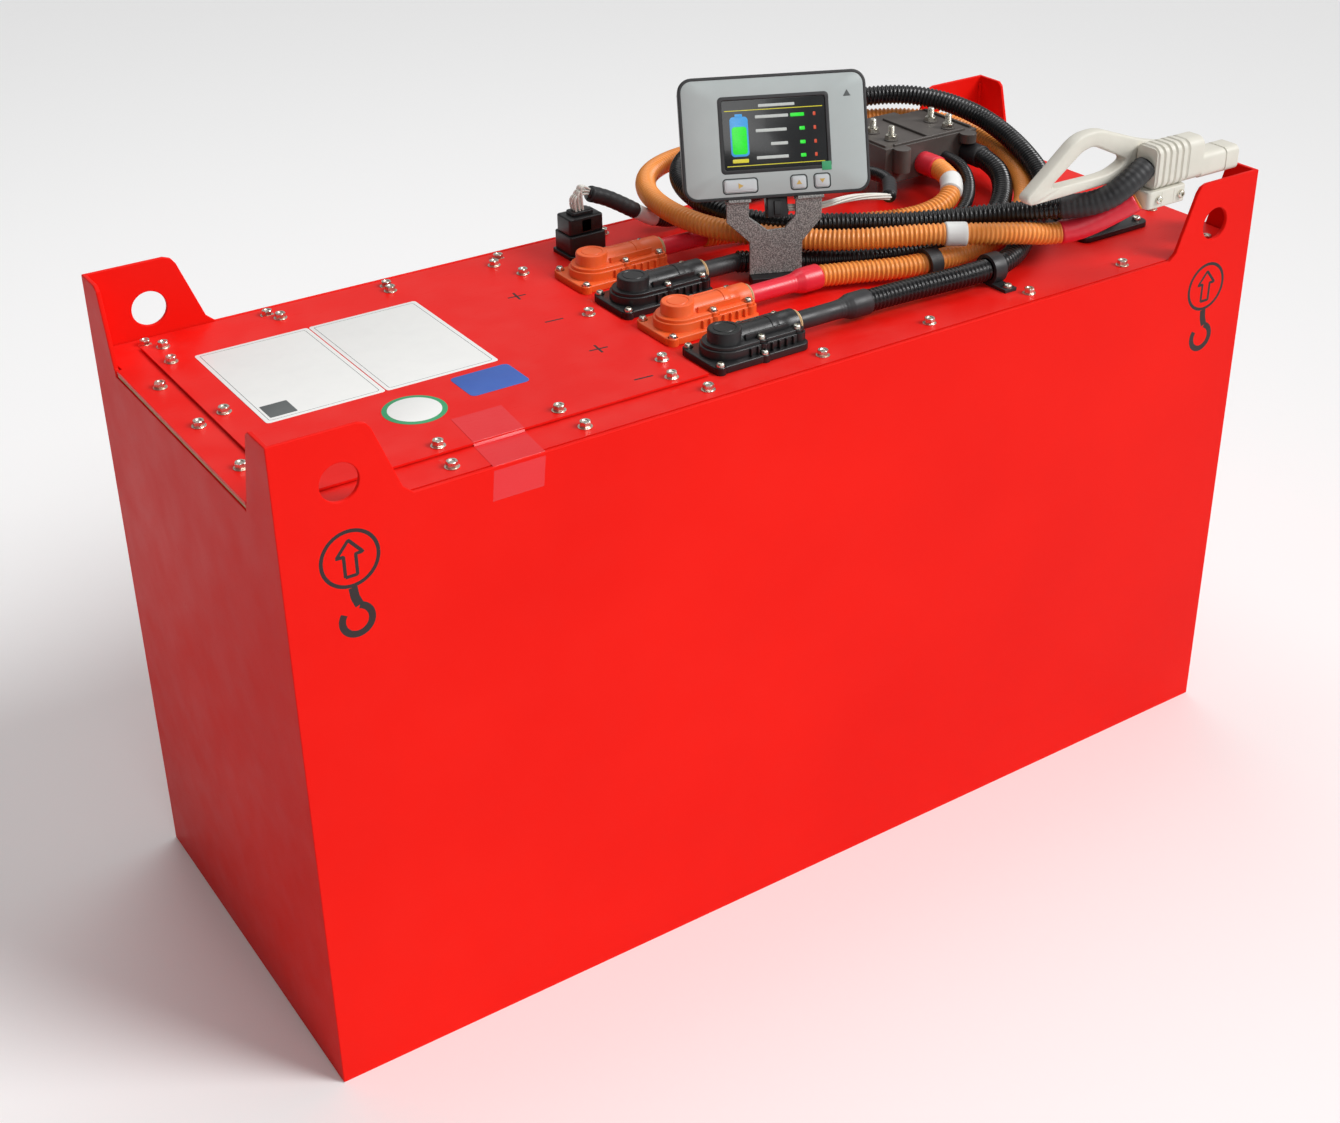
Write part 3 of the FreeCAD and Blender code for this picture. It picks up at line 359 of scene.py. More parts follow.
def paint_film(tree, given, spot):
    """Sprayed paint: broad uneven colour, fine orange peel, pale dust that lies on upward
    faces, and short dull scuffs."""
    broad = remap(tree, noise(tree, spot, 3.0, 4.0), 0.3, 0.7)
    cloud = noise(tree, spot, 26.0, 6.0)
    streak = remap(tree, noise(tree, spot, 60.0, 3.0, (1.0, 14.0, 5.0)), 0.64, 0.74)
    normal = add_node(tree, "NewGeometry", "Normal")
    upward = remap(tree, add_node(tree, "SeparateXYZ", "Z", {"Vector": normal}), 0.3, 1.0,
                   0.15, 1.0)
    dust = combined(tree, "MULTIPLY", upward, remap(tree, cloud, 0.42, 0.72))
    amount = combined(tree, "MULTIPLY", dust, given["Dust"])
    painted = blend(tree, broad, given["Colour"], given["Shade"])
    rough = remap(tree, cloud, 0.3, 0.75, 0.34, 0.46)
    peel = combined(tree, "MULTIPLY_ADD", noise(tree, spot, 900.0, 2.0), 0.3,
                    noise(tree, spot, 240.0, 2.0))
    return (blend(tree, amount, painted, (0.62, 0.40, 0.36, 1)),
            combined(tree, "MULTIPLY_ADD", streak, 0.18, rough),
            bumped(tree, peel, given["Peel"], 0.0004))


def moulded(tree, given, spot):
    """Moulded plastic or rubber: spark-eroded grain, slight mottling, and paler worn dust."""
    cloud = noise(tree, spot, 45.0, 5.0)
    worn = combined(tree, "MULTIPLY", remap(tree, cloud, 0.4, 0.75), given["Wear"])
    return (blend(tree, worn, given["Colour"], given["Worn colour"]),
            remap(tree, cloud, 0.3, 0.7, given["Low roughness"], given["High roughness"]),
            bumped(tree, noise(tree, spot, given["Grain size"], 2.0), given["Grain"], 0.0002))


def plated(tree, given, spot):
    """Plated or bare metal: fine drawn lines, and stains that dull it in places."""
    stain = noise(tree, spot, 130.0, 5.0)
    lines = noise(tree, spot, 700.0, 2.0, (1.0, 9.0, 9.0))
    return (blend(tree, remap(tree, stain, 0.45, 0.72), given["Colour"], given["Stain"]),
            remap(tree, stain, 0.3, 0.7, given["Low roughness"], given["High roughness"]),
            bumped(tree, lines, 0.12, 0.0001))


def speckled(tree, given, spot):
    """Hammered powder coat: dark ground with many pale grey flecks."""
    flecks = noise(tree, spot, 900.0, 3.0)
    return (blend(tree, remap(tree, flecks, 0.42, 0.62), given["Ground"], given["Fleck"]),
            remap(tree, flecks, 0.35, 0.65, 0.45, 0.7), bumped(tree, flecks, 0.5, 0.0003))


PAINT_FILM = surface_group("paint_film", ("Colour", "Shade"), ("Dust", "Peel"), paint_film)
MOULDED = surface_group("moulded_surface", ("Colour", "Worn colour"), (
    "Wear", "Grain size", "Grain", "Low roughness", "High roughness"), moulded)
METAL = surface_group("plated_metal", ("Colour", "Stain"), ("Low roughness", "High roughness"),
                      plated)
SPECKLED = surface_group("speckled_coat", ("Ground", "Fleck"), (), speckled)


def shader_material(name, inputs):
    """A material with its shader's inputs set; inputs is a function of the node tree."""
    material = bpy.data.materials.new(name)
    material.use_nodes = True
    tree = material.node_tree
    for label, value in inputs(tree).items():
        feed(tree.nodes["Principled BSDF"].inputs[label], value)
    return material


def make_material(name, group, settings, metallic=0.0, coat=0.0, coat_roughness=0.1,
                  specular=0.5):
    """A shader fed by one of the surface groups, whose inputs are set in their order."""
    def inputs(tree):
        surface = tree.nodes.new("ShaderNodeGroup")
        surface.node_tree = group
        for socket, value in zip(surface.inputs, settings, strict=True):
            feed(socket, (*value, 1) if isinstance(value, tuple) else value)
        return {"Base Color": surface.outputs["Colour"],
                "Roughness": surface.outputs["Roughness"],
                "Normal": surface.outputs["Normal"], "Metallic": metallic,
                "Coat Weight": coat, "Coat Roughness": coat_roughness,
                "Specular IOR Level": specular}
    return shader_material(name, inputs)


def plastic(name, colour, worn, wear=0.3, grain=0.2, low=0.35, high=0.55, size=1800.0):
    """Moulded plastic, rubber, film or paint that has worn a little paler."""
    return make_material(name, MOULDED, (colour, worn, wear, size, grain, low, high))


def metal(name, colour, stain, low, high):
    """Bare or plated metal that has dulled in places."""
    return make_material(name, METAL, (colour, stain, low, high), metallic=1.0)


def paint(name, colour, shade, dust, peel, **shader):
    """Sprayed paint; the shader's coat and specular are given by name."""
    return make_material(name, PAINT_FILM, (colour, shade, dust, peel), **shader)


TRAY_RED = paint("tray_red", (0.82, 0.011, 0.006), (0.74, 0.008, 0.005), 0.02, 0.05,
                 specular=0.05)
LID_RED = paint("lid_red", (0.80, 0.010, 0.006), (0.72, 0.008, 0.005), 0.035, 0.08, coat=0.03,
                coat_roughness=0.22, specular=0.16)
CLEAR_TAPE = paint("clear_tape", (0.72, 0.010, 0.014), (0.74, 0.016, 0.022), 0.02, 0.3,
                   coat=0.3, coat_roughness=0.16, specular=0.3)
CONNECTOR_ORANGE = plastic("connector_orange", (0.86, 0.115, 0.018), (0.80, 0.20, 0.07), 0.35,
                           0.15, 0.32, 0.5)
CONNECTOR_BLACK = plastic("connector_black", (0.008, 0.008, 0.009), (0.028, 0.026, 0.026),
                          0.35, 0.2, 0.28, 0.48)
CONDUIT_ORANGE = plastic("conduit_orange", (0.90, 0.31, 0.055), (0.84, 0.36, 0.10), 0.4, 0.1,
                         0.3, 0.45)
CONDUIT_BLACK = plastic("conduit_black", (0.007, 0.007, 0.008), (0.03, 0.027, 0.027), 0.3,
                        0.05, 0.2, 0.36)
SHRINK_RED = plastic("shrink_red", (0.78, 0.022, 0.045), (0.70, 0.05, 0.07), 0.3, 0.12, 0.3,
                     0.45)
SHRINK_BLACK = plastic("shrink_black", (0.016, 0.016, 0.018), (0.05, 0.05, 0.05), 0.35, 0.15,
                       0.4, 0.6)
BLACK_STEEL = plastic("black_steel", (0.02, 0.02, 0.022), (0.06, 0.06, 0.06), 0.3, 0.3,
                      size=900.0)
TAN_SEAL = plastic("tan_seal", (0.62, 0.43, 0.22), (0.45, 0.30, 0.16), 0.5, 0.4, 0.6, 0.8,
                   size=700.0)
WHITE_FILM = plastic("white_film", (0.80, 0.80, 0.78), (0.66, 0.66, 0.65), 0.25, 0.05, 0.3,
                     0.45)
DISPLAY_GREY = plastic("display_grey", (0.43, 0.475, 0.47), (0.37, 0.41, 0.405), 0.25, 0.12,
                       0.28, 0.42)
DISPLAY_EDGE = plastic("display_edge", (0.02, 0.02, 0.022), (0.06, 0.06, 0.06), 0.3, 0.25)
KEY_GREY = plastic("key_grey", (0.52, 0.54, 0.55), (0.44, 0.46, 0.47), 0.25, 0.1)
KEY_AMBER = plastic("key_amber", (0.55, 0.36, 0.09), (0.48, 0.33, 0.10), 0.3, 0.05)
PLUG_GREY = plastic("plug_grey", (0.68, 0.655, 0.575), (0.56, 0.54, 0.47), 0.4, 0.2, 0.38,
                    0.55)
INLET_GREY = plastic("inlet_grey", (0.075, 0.064, 0.058), (0.13, 0.115, 0.105), 0.4, 0.25,
                     0.35, 0.55)
BOARD_GREEN = plastic("board_green", (0.02, 0.12, 0.05), (0.03, 0.16, 0.07), 0.3, 0.1)
WIRE_WHITE = plastic("wire_white", (0.78, 0.76, 0.70), (0.62, 0.60, 0.55), 0.3, 0.05)
STENCIL_BLACK = plastic("stencil_black", (0.012, 0.006, 0.006), (0.05, 0.008, 0.008), 0.4,
                        0.3, 0.5, 0.7, size=600.0)
LABEL_BLUE = plastic("label_blue", (0.03, 0.10, 0.42), (0.05, 0.14, 0.45), 0.3, 0.05)
LABEL_GREEN = plastic("label_green", (0.03, 0.30, 0.12), (0.04, 0.34, 0.15), 0.3, 0.05)
MARK_GREY = plastic("mark_grey", (0.09, 0.10, 0.10), (0.13, 0.14, 0.14), 0.3, 0.05)
ZINC = metal("zinc_plate", (0.80, 0.78, 0.70), (0.50, 0.45, 0.36), 0.18, 0.42)
CELL_METAL = metal("cell_aluminium", (0.78, 0.79, 0.81), (0.6, 0.61, 0.62), 0.25, 0.45)
COPPER = metal("contact_copper", (0.83, 0.45, 0.26), (0.5, 0.28, 0.18), 0.2, 0.4)
BRACKET_GREY = make_material("bracket_speckle", SPECKLED, ((0.12, 0.12, 0.118),
                                                           (0.40, 0.40, 0.38)))


def screen_inputs(tree):
    """The cover glass over the display: almost black, with faint smears in its gloss."""
    cloud = noise(tree, object_spot(tree), 12.0, 3.0)
    colour = blend(tree, remap(tree, cloud, 0.3, 0.7), (0.010, 0.011, 0.012, 1),
                   (0.018, 0.020, 0.021, 1))
    return {"Base Color": colour, "Roughness": remap(tree, cloud, 0.3, 0.7, 0.12, 0.24),
            "Coat Weight": 0.25, "Coat Roughness": 0.06}


def lit(name, colour, strength):
    """A lit part of the screen: its colour glows, a little unevenly."""
    def inputs(tree):
        cell = noise(tree, object_spot(tree), 700.0, 1.0)
        shade = blend(tree, remap(tree, cell, 0.3, 0.7), (*colour, 1),
                      (*[c * 0.85 for c in colour], 1))
        return {"Base Color": shade, "Emission Color": shade,
                "Roughness": remap(tree, cell, 0.3, 0.7, 0.2, 0.3),
                "Emission Strength": strength}
    return shader_material(name, inputs)


SCREEN = shader_material("screen_glass", screen_inputs)
LIT_GREEN = lit("lit_green", (0.02, 0.62, 0.03), 0.5)
LIT_BLUE = lit("lit_blue", (0.05, 0.28, 0.60), 0.4)
LIT_PALE = lit("lit_pale", (0.45, 0.48, 0.46), 0.25)
LIT_AMBER = lit("lit_amber", (0.55, 0.50, 0.03), 0.35)
LIT_RED = lit("lit_red", (0.55, 0.06, 0.02), 0.3)

# ---------------------------------------------------------------- cables
# The corners of each cable's route, in millimetres, as the CAD has them.
DISCHARGE_MINUS = [
    (83, -136, 557), (125, -137, 557), (170, -140, 557), (207, -142, 557), (245, -139, 557),
    (280, -122, 558), (312, -98, 561), (346, -77, 567), (377, -53, 573), (401, -21, 580),
    (417, 20, 588), (430, 66, 595), (433, 112, 603), (421, 156, 610), (396, 192, 613),
    (358, 218, 610), (312, 232, 606), (262, 238, 600), (212, 236, 597), (165, 226, 595),
    (122, 206, 593), (90, 178, 591), (70, 142, 589), (62, 100, 587), (66, 58, 584),
    (85, 25, 582), (116, 1, 580.5), (150, -16, 580), (192, -47, 580), (236, -76, 584),
    (275, -110, 592), (304, -142, 600), (332, -171, 608), (354, -183, 625),
    (377, -181, 638)]
DISCHARGE_PLUS = [
    (83, -63.5, 557), (118, -73, 556), (153, -88, 556), (189, -97, 557), (228, -98, 557),
    (268, -91, 557), (307, -76, 557), (343, -54, 558), (375, -28, 561), (402, 6, 565),
    (424, 44, 569), (438, 86, 574), (440, 130, 579), (427, 168, 583), (398, 197, 585),
    (355, 222, 584), (308, 238, 581), (258, 247, 579), (208, 250, 578), (158, 247, 578),
    (112, 236, 579), (74, 212, 580), (48, 176, 580), (35, 134, 580), (32, 92, 580),
    (38, 52, 580), (57, 20, 579), (87, -4, 576), (116, -36, 576), (150, -66, 580),
    (191, -92, 583.5), (232, -117, 582.5), (270, -134, 580), (304, -143, 574),
    (338, -160, 583), (369, -181, 607)]
CHARGE_PLUS = [
    (55, 81.5, 557), (90, 79, 555), (128, 66, 553), (168, 48, 553), (208, 31, 553),
    (244, 15, 553.5), (272, 7, 556), (297, 7, 561), (317, 17, 568), (330, 36, 575),
    (334, 60, 577)]
CHARGE_MINUS = [
    (44, 9, 557), (66, 2, 554.5), (92, -13, 553), (124, -31, 553), (162, -48, 553),
    (205, -59, 553), (250, -62, 553), (294, -53, 553), (332, -33, 556), (362, -9, 562),
    (382, 15, 569), (392, 38, 574), (394, 60, 577)]
INLET_SIGNAL = [
    (364, 84, 577), (364, 66, 577), (359, 46, 573), (347, 25, 567), (327, 4, 560),
    (300, -11, 552.5), (271, -15, 549.5), (240, -12, 548.8), (206, -6, 548.8),
    (172, 3, 548.8), (140, 13, 548.8), (112, 24, 549)]
DATA_CABLE = [
    (-34, 150, 600), (-16, 149.6, 593), (4, 149, 581), (24, 148, 568), (44, 147, 556),
    (67, 149, 550.5), (97, 154, 549), (130, 161, 549), (165, 167, 549), (199, 165, 551),
    (228, 154, 557), (248, 134, 566), (259, 109, 575), (263, 82, 581), (261, 56, 583),
    (250, 34, 582), (234, 18, 579)]
DATA_WIRES = [
    (234, 18, 579), (208, 8, 588), (180, -1, 596), (152, -11, 602), (126, -21, 606),
    (102, -26, 609), (81.1, -17.2, 610.8)]


def route_line(points):
    """The smooth line of a route in metres: a quadratic NURBS spline over its corners."""
    curve = bpy.data.curves.new("route", "CURVE")
    curve.dimensions = "3D"
    curve.resolution_u = 12
    spline = curve.splines.new("NURBS")
    spline.points.add(len(points) - 1)
    for corner, point in zip(spline.points, points):
        corner.co = (point[0] * MM, point[1] * MM, point[2] * MM, 1)
    spline.order_u = 3
    spline.use_endpoint_u = True
    carrier = bpy.data.objects.new("route", curve)
    line = bpy.data.meshes.new_from_object(carrier)
    spots = np.array([v.co for v in line.vertices], float)
    bpy.data.objects.remove(carrier)
    bpy.data.curves.remove(curve)
    bpy.data.meshes.remove(line)
    return spots


def measured(line):
    """How far along the line each of its points is."""
    return np.concatenate([[0], np.cumsum(np.linalg.norm(np.diff(line, axis=0), axis=1))])


def spaced(line, count, start=0.0, end=None):
    """Evenly spaced points on a line, or on its part between two distances along it."""
    line = np.asarray(line, float)
    so_far = measured(line)
    wanted = np.linspace(start, so_far[-1] if end is None else end, count)
    return np.stack([np.interp(wanted, so_far, line[:, i]) for i in range(3)], axis=1)


def heading(line):
    """The direction of a line at each of its points."""
    ahead = np.gradient(line, axis=0)
    return ahead / np.linalg.norm(ahead, axis=1, keepdims=True)


def sideways(line):
    """At each point of a line, the level and the upward direction square to it."""
    ahead = heading(line)
    level = np.cross(ahead, numbers(0, 0, 1))
    level /= np.linalg.norm(level, axis=1, keepdims=True)
    return level, np.cross(level, ahead)


def tube(line, radii, sides=20):
    """A round section at each point of a line, square to it; radii is one radius or one for
    each point."""
    level, upward = sideways(line)
    across, up = circle(sides)
    radii = np.broadcast_to(radii, len(line))[:, None, None]
    return stack_rings(line[:, None] + radii * (across[None, :, None] * level[:, None]
                                                + up[None, :, None] * upward[:, None]))


def ribbed_cable(name, route, radius, pitch, depth, sides, material):
    """A conduit whose radius swings between radius and radius - depth once every pitch, as
    a rounded square wave, so that it has rings rather than a thread. Also its line and its
    length."""
    line = route_line(route)
    length = measured(line)[-1]
    spots_per_rib = 6
    line = spaced(line, round(length / pitch) * spots_per_rib + 1)
    phase = np.arange(len(line)) / spots_per_rib * FULL_TURN
    wave = np.clip(1.6 * np.cos(phase), -1, 1) * 0.5 + 0.5
    cable = make_mesh(name + "_conduit", tube(line, radius - depth * (1 - wave), sides),
                      material, replaces=name + "_cable")
    return cable, line, length


# Outer radius, rib pitch and rib depth in metres, and the sides of the section.
WIDE = (10.6 * MM, 4.4 * MM, 1.5 * MM, 20)
THIN = (6.5 * MM, 3.1 * MM, 0.8 * MM, 14)
cables = {name: ribbed_cable(name, route, *size, material) for name, route, size, material in (
    ("discharge_minus", DISCHARGE_MINUS, WIDE, CONDUIT_BLACK),
    ("discharge_plus", DISCHARGE_PLUS, WIDE, CONDUIT_ORANGE),
    ("charge_plus", CHARGE_PLUS, WIDE, CONDUIT_ORANGE),
    ("charge_minus", CHARGE_MINUS, WIDE, CONDUIT_BLACK),
    ("inlet_signal", INLET_SIGNAL, THIN, CONDUIT_BLACK),
    ("data", DATA_CABLE, THIN, CONDUIT_BLACK))}


def wire_bundle():
    """Six thin wires round a seventh, each turning slowly about the bundle's line."""
    line = spaced(route_line(DATA_WIRES), 90)
    level, upward = sideways(line)
    along = np.linspace(0, 1, len(line))
    strands = []
    for i in range(6):
        angle = i * math.pi / 3 + 2.4 * along
        offset = 2.35 * MM * (np.cos(angle)[:, None] * level + np.sin(angle)[:, None] * upward)
        strands.append(tube(line + offset, 1.1 * MM, 8))
    strands.append(tube(line, 1.2 * MM, 8))
    bundle = make_mesh("data_wire_bundle", join(strands), WIRE_WHITE, replaces="data_wires")
    return bundle, line, measured(line)[-1]


cables["wires"] = wire_bundle()


# ---------------------------------------------------------------- tray, lid and cover
def weld_tray():
    """The tray and its four ears are one folded and welded sheet piece: their union, with
    every outside edge rounded a little."""
    piece = eased("tray", 0.9, TRAY_RED)
    rounding = piece.modifiers["rounding"]
    rounding.show_viewport = False
    boolean(piece, "UNION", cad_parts["lifting_ears"])
    cleaned(piece.data, 3e-5)
    piece.data.materials.clear()
    piece.data.materials.append(TRAY_RED)
    rounding.show_viewport = True
    rounding.use_clamp_overlap = False
    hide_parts("lifting_ears")


weld_tray()
eased("main_lid", 0.7, LID_RED)
eased("access_cover", 0.6, LID_RED)
eased("gaskets", 0.4, TAN_SEAL)

LID_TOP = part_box("main_lid")[1].z / MM
COVER_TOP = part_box("access_cover")[1].z / MM
FRONT = -200.0
PROUD = 0.03


def ribbon(name, line, width, height, material, outward=(0, 0, 1)):
    """A painted or laid strip: its section is a flat half ellipse carried along the line,
    which lies in the plane of the surface that it is on; outward is the way out of it."""
    line = np.asarray(line, float)
    outward = numbers(*outward)
    across = np.cross(heading(line), outward)
    flat, up = circle(7, 0, math.pi, closed=True)
    section = np.stack([flat * width / 2, up * height], axis=1)
    section = np.concatenate([section, [[0.0, -0.05]]])
    rings = (line[:, None] + section[None, :, :1] * across[:, None]
             + section[None, :, 1:] * outward)
    in_mm(name, stack_rings(rings), material)


def weld_beads():
    """Weld beads along the inside foot of each ear, as a row of small overlapping ripples."""
    beads = []
    along = np.linspace(0, 1, 120)
    swell = 1.5 + 0.35 * np.abs(np.sin(along * 50))
    across, up = circle(8)
    for x in (-510, 510):
        for y in (-195, 195):
            line = np.stack([np.full(120, x), np.full(120, y), 544 + 60 * along], axis=1)
            rings = np.repeat(line[:, None], 8, axis=1)
            rings[:, :, 0] += swell[:, None] * across
            rings[:, :, 1] += swell[:, None] * up
            beads.append(stack_rings(rings))
    in_mm("ear_welds", join(beads), TRAY_RED, sharp=80)


weld_beads()


def on_front(x, z, corners):
    """Corners given as (x, z) about a spot, on the tray's front wall."""
    return [(x + right, FRONT, z + up) for right, up in corners]


def arc(radius, count, start=0.0, end=FULL_TURN, x=0.0, z=0.0):
    """Points of an arc about x, z."""
    return [(x + radius * across, z + radius * up)
            for across, up in zip(*circle(count, start, end, closed=True))]


def lifting_mark(tag, x):
    """A stencilled sign for a lifting point: an arrow in a ring, and a hook below it."""
    arrow = [(-5, -15), (5, -15), (5, 3), (11, 3), (0, 16), (-11, 3), (-5, 3), (-5, -15)]
    hook = arc(12.5, 34, math.radians(75), math.radians(-215), 1, -54)
    for part, corners, count, width in (
            ("ring", arc(23.5, 49), None, 3.2), ("arrow", arrow, 90, 2.9),
            ("shank", [(0, -25), (1, -34), (4, -41.8)], 10, 7.5), ("hook", hook, None, 6.0)):
        line = on_front(x, 503, corners)
        ribbon("lift_%s_%s" % (part, tag), spaced(line, count) if count else line, width,
               PROUD, STENCIL_BLACK, (0, -1, 0))


lifting_mark("left", -459.5)
lifting_mark("right", 459.5)


def film(name, width, height, x, y, material, radius=3.0, proud=0.25, level=0.0):
    """A thin film with rounded corners on the cover, centred at x, y."""
    in_mm(name, slab(width, height, radius, level, level + proud, 0.08, (x, y, COVER_TOP)),
          material)


def cover_labels():
    """Blank films on the cover: two pale panels with a ruled border, a dark square on one
    of them, a blue one, and a round one with a green ring."""
    for tag, x in (("left", -397.5), ("right", -290.5)):
        film("label_" + tag, 106, 160, x, 46, WHITE_FILM)
        edge = [(x + i * 49, y, COVER_TOP + 0.25)
                for i, y in ((-1, 122), (1, 122), (1, -30), (-1, -30), (-1, 122))]
        ribbon("label_rule_" + tag, spaced(edge, 150), 0.5, 0.06, MARK_GREY)
    film("label_square", 24, 24, -432, -14, MARK_GREY, radius=1.0, level=0.25, proud=0.06)
    film("label_blue", 56, 42, -263, -64, LABEL_BLUE, radius=5)
    for name, radius, level, material in (("label_round_ring", 27, 0.0, LABEL_GREEN),
                                          ("label_round", 22.5, 0.25, WHITE_FILM)):
        in_mm(name, turned([(0.1, 0), (radius, 0), (radius, 0.2), (radius - 0.2, 0.25),
                            (0.1, 0.25)], 64, (-341, -79, COVER_TOP + level)), material)


def clear_tape():
    """A clear tape over the cover's edge, the lid and the top of the front wall. It follows
    a profile in the y, z plane, and its middle slides in x on the way down."""
    profile = [(-112, COVER_TOP + 0.2), (-158.6, COVER_TOP + 0.2), (-159.8, LID_TOP + 0.2),
               (-199.0, LID_TOP + 0.2), (-199.98, 540.0), (FRONT - PROUD, 539.0),
               (FRONT - PROUD, 513.0)]
    half_width, thick, count = 23, 0.15, 60
    rings = []
    for x, (_, y, z) in zip(np.linspace(-302, -314, count),
                            spaced([(0, y, z) for y, z in profile], count)):
        rings.append([(x - half_width, y, z), (x + half_width, y, z),
                      (x + half_width, y + 0.5 * thick, z - thick),
                      (x - half_width, y + 0.5 * thick, z - thick)])
    in_mm("clear_tape", stack_rings(rings), CLEAR_TAPE)


def pen_signs():
    """Pen strokes beside each connector: a plus for an orange one, a minus for a black one."""
    for k, y in enumerate((-134, -62, 14, 82)):
        strokes = [[(-164, y, 0), (-146, y - 1.5, 0)], [(-156, y - 9, 0), (-154, y + 8, 0)]]
        for i, stroke in enumerate(strokes[:1 + k % 2]):
            line = spaced(numbers(*stroke) + numbers(0, 0, COVER_TOP), 12)
            ribbon("pen_%d_%d" % (k, i), line, 2.2, 0.05, STENCIL_BLACK)


cover_labels()
clear_tape()
pen_signs()


# ---------------------------------------------------------------- screws
def hexagon_head(radius, height):
    """A hexagon head: six flats, whose top is cut back by a turned chamfer and dished."""
    angle = np.arange(24) / 24 * FULL_TURN
    flat = radius * math.cos(math.pi / 6) / np.cos((angle + math.pi / 6) % (math.pi / 3)
                                                   - math.pi / 6)
    top_corner_cut = 0.12
    rings = []
    for part, scale in ((0.0, 1.0), (0.72, 1.0), (0.9, 0.97), (1.0, 0.88)):
        reach = np.minimum(flat, radius * scale) * (1 - top_corner_cut * max(part - 0.9, 0))
        rings.append(np.stack([reach * np.cos(angle), reach * np.sin(angle),
                               np.full(24, part * height)], axis=1))
    dish = rings[-1] * numbers(0.62, 0.62, 1)
    rings += [dish, dish * numbers(0.8, 0.8, 1) - numbers(0, 0, 0.18 * height)]
    return stack_rings(rings)


def spots_of(node):
    """The lowest and the highest corner of each separate solid of a CAD node, in mm."""
    work = bmesh.new()
    work.from_mesh(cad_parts[node].data)
    bmesh.ops.remove_doubles(work, verts=work.verts, dist=SAME_POINT)
    work.verts.ensure_lookup_table()
    seen, found = set(), []
    for vertex in work.verts:
        if vertex.index in seen:
            continue
        island, waiting = [], [vertex]
        seen.add(vertex.index)
        while waiting:
            current = waiting.pop()
            island.append(current.co)
            for edge in current.link_edges:
                other = edge.other_vert(current)
                if other.index not in seen:
                    seen.add(other.index)
                    waiting.append(other)
        spots = np.array(island, float) / MM
        found.append((spots.min(axis=0), spots.max(axis=0)))
    work.free()
    return found


def lid_fasteners():
    """Each lid screw: a hexagon head at its own chance angle, on a spring and a flat washer."""
    chance = np.random.default_rng(4)
    head_height = 4.0
    heads, rings = [], []
    for low, high in spots_of("lid_screws"):
        spot = (*(low[:2] + high[:2]) / 2, high[2] - head_height)
        turn = Matrix.Rotation(chance.uniform(0, math.pi / 3), 4, "Z")
        heads.append(shifted(moved(hexagon_head(5.0, head_height), turn), *spot))
        heads.append(turned([(0.5, -7.0), (3.0, -7.0), (3.0, 0.0), (0.5, 0.0)], 16, spot))
        rings.append(turned([(3.3, -1.5), (5.9, -1.5), (6.2, -1.3), (6.2, -0.9), (5.2, -0.75),
                             (5.2, -0.05), (3.3, 0.0)], 28, spot))
    in_mm("lid_screw_heads", join(heads), ZINC, replaces="lid_screws", sharp=25)
    in_mm("lid_screw_washers", join(rings), ZINC, replaces="lid_washers", sharp=25)


def pan_head(radius, height):
    """A domed screw head with a round socket sunk into its top."""
    profile = [(radius, 0.0)]
    profile += [(radius * (0.55 + 0.45 * across), height * (0.25 + 0.75 * up))
                for across, up in zip(*circle(6, 0, QUARTER_TURN, closed=True))]
    profile += [(radius * 0.42, height), (radius * 0.38, height * 0.45), (0.02, height * 0.4)]
    return turned(profile, 18)


def small_fasteners(name, node, radius, height):
    """A pan head in the place of each screw of a CAD node."""
    heads = [shifted(pan_head(radius, height), *(low[:2] + high[:2]) / 2, high[2] - height)
             for low, high in spots_of(node)]
    in_mm(name, join(heads), ZINC, replaces=node, sharp=30)


lid_fasteners()
small_fasteners("connector_screw_heads", "connector_screws", 3.7, 4.4)
small_fasteners("accessory_screw_heads", "accessory_screws", 4.4, 3.6)

# ---------------------------------------------------------------- high-current connectors
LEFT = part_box("minus_connector_bases")[0].x / MM
BOSS = LEFT + 27
ROWS = [-136 + 72.5 * k for k in range(4)]
SPLIT = LID_TOP + 15


def stadium(length, width, corner):
    """An outline along x: a half circle about the origin at its left end, and two rounded
    corners at its right end."""
    half = width / 2
    across, up = circle(20, QUARTER_TURN, 3 * QUARTER_TURN, closed=True)
    round_end = np.stack([half * across, half * up], axis=1)
    across, up = circle(10, 0, QUARTER_TURN, closed=True)
    lower = np.stack([length - corner + corner * up, -half + corner - corner * across], axis=1)
    upper = np.stack([length - corner + corner * across, half - corner + corner * up], axis=1)
    return np.concatenate([round_end, lower, upper])


def stadium_slab(length, width, corner, low, high, ease, at):
    """A plate with that outline; its upper rim is eased by a quarter circle."""
    rings = []
    for inset, level in [(0, low)] + [
            (ease * (1 - across), high - ease * (1 - up))
            for across, up in zip(*circle(4, 0, QUARTER_TURN, closed=True))]:
        line = stadium(length - inset, width - 2 * inset, max(corner - inset, 0.3))
        rings.append(np.column_stack([line, np.full(len(line), level)]))
    return shifted(stack_rings(rings), *at)


def connector_base(y):
    """The lower half: a flange with rounded corners, the round-ended housing on it, bosses
    round its screws, and ribs along both sides."""
    return join([
        slab(100, 56, 8, 0, 7, 1.0, (LEFT + 50, y, LID_TOP)),
        stadium_slab(73, 44, 5, 6.5, 15, 0.8, (BOSS, y, LID_TOP)),
        *spread(turned([(5.0, 0), (5.0, 6.6), (4.6, 7.0), (0.1, 7.0)], 24),
                pairs((LEFT + 6, LEFT + 52), y, 24.5, LID_TOP)),
        *spread(turned([(4.4, 0), (4.4, 8.0), (0.1, 8.0)], 20),
                pairs((BOSS + 27, BOSS + 65), y, 19.6, LID_TOP + 7)),
        *spread(slab(1.6, 3.2, 0.5, 0, 7.6, 0.3),
                pairs(np.arange(BOSS + 12, BOSS + 60, 7.5), y, 22.6, LID_TOP + 7))])


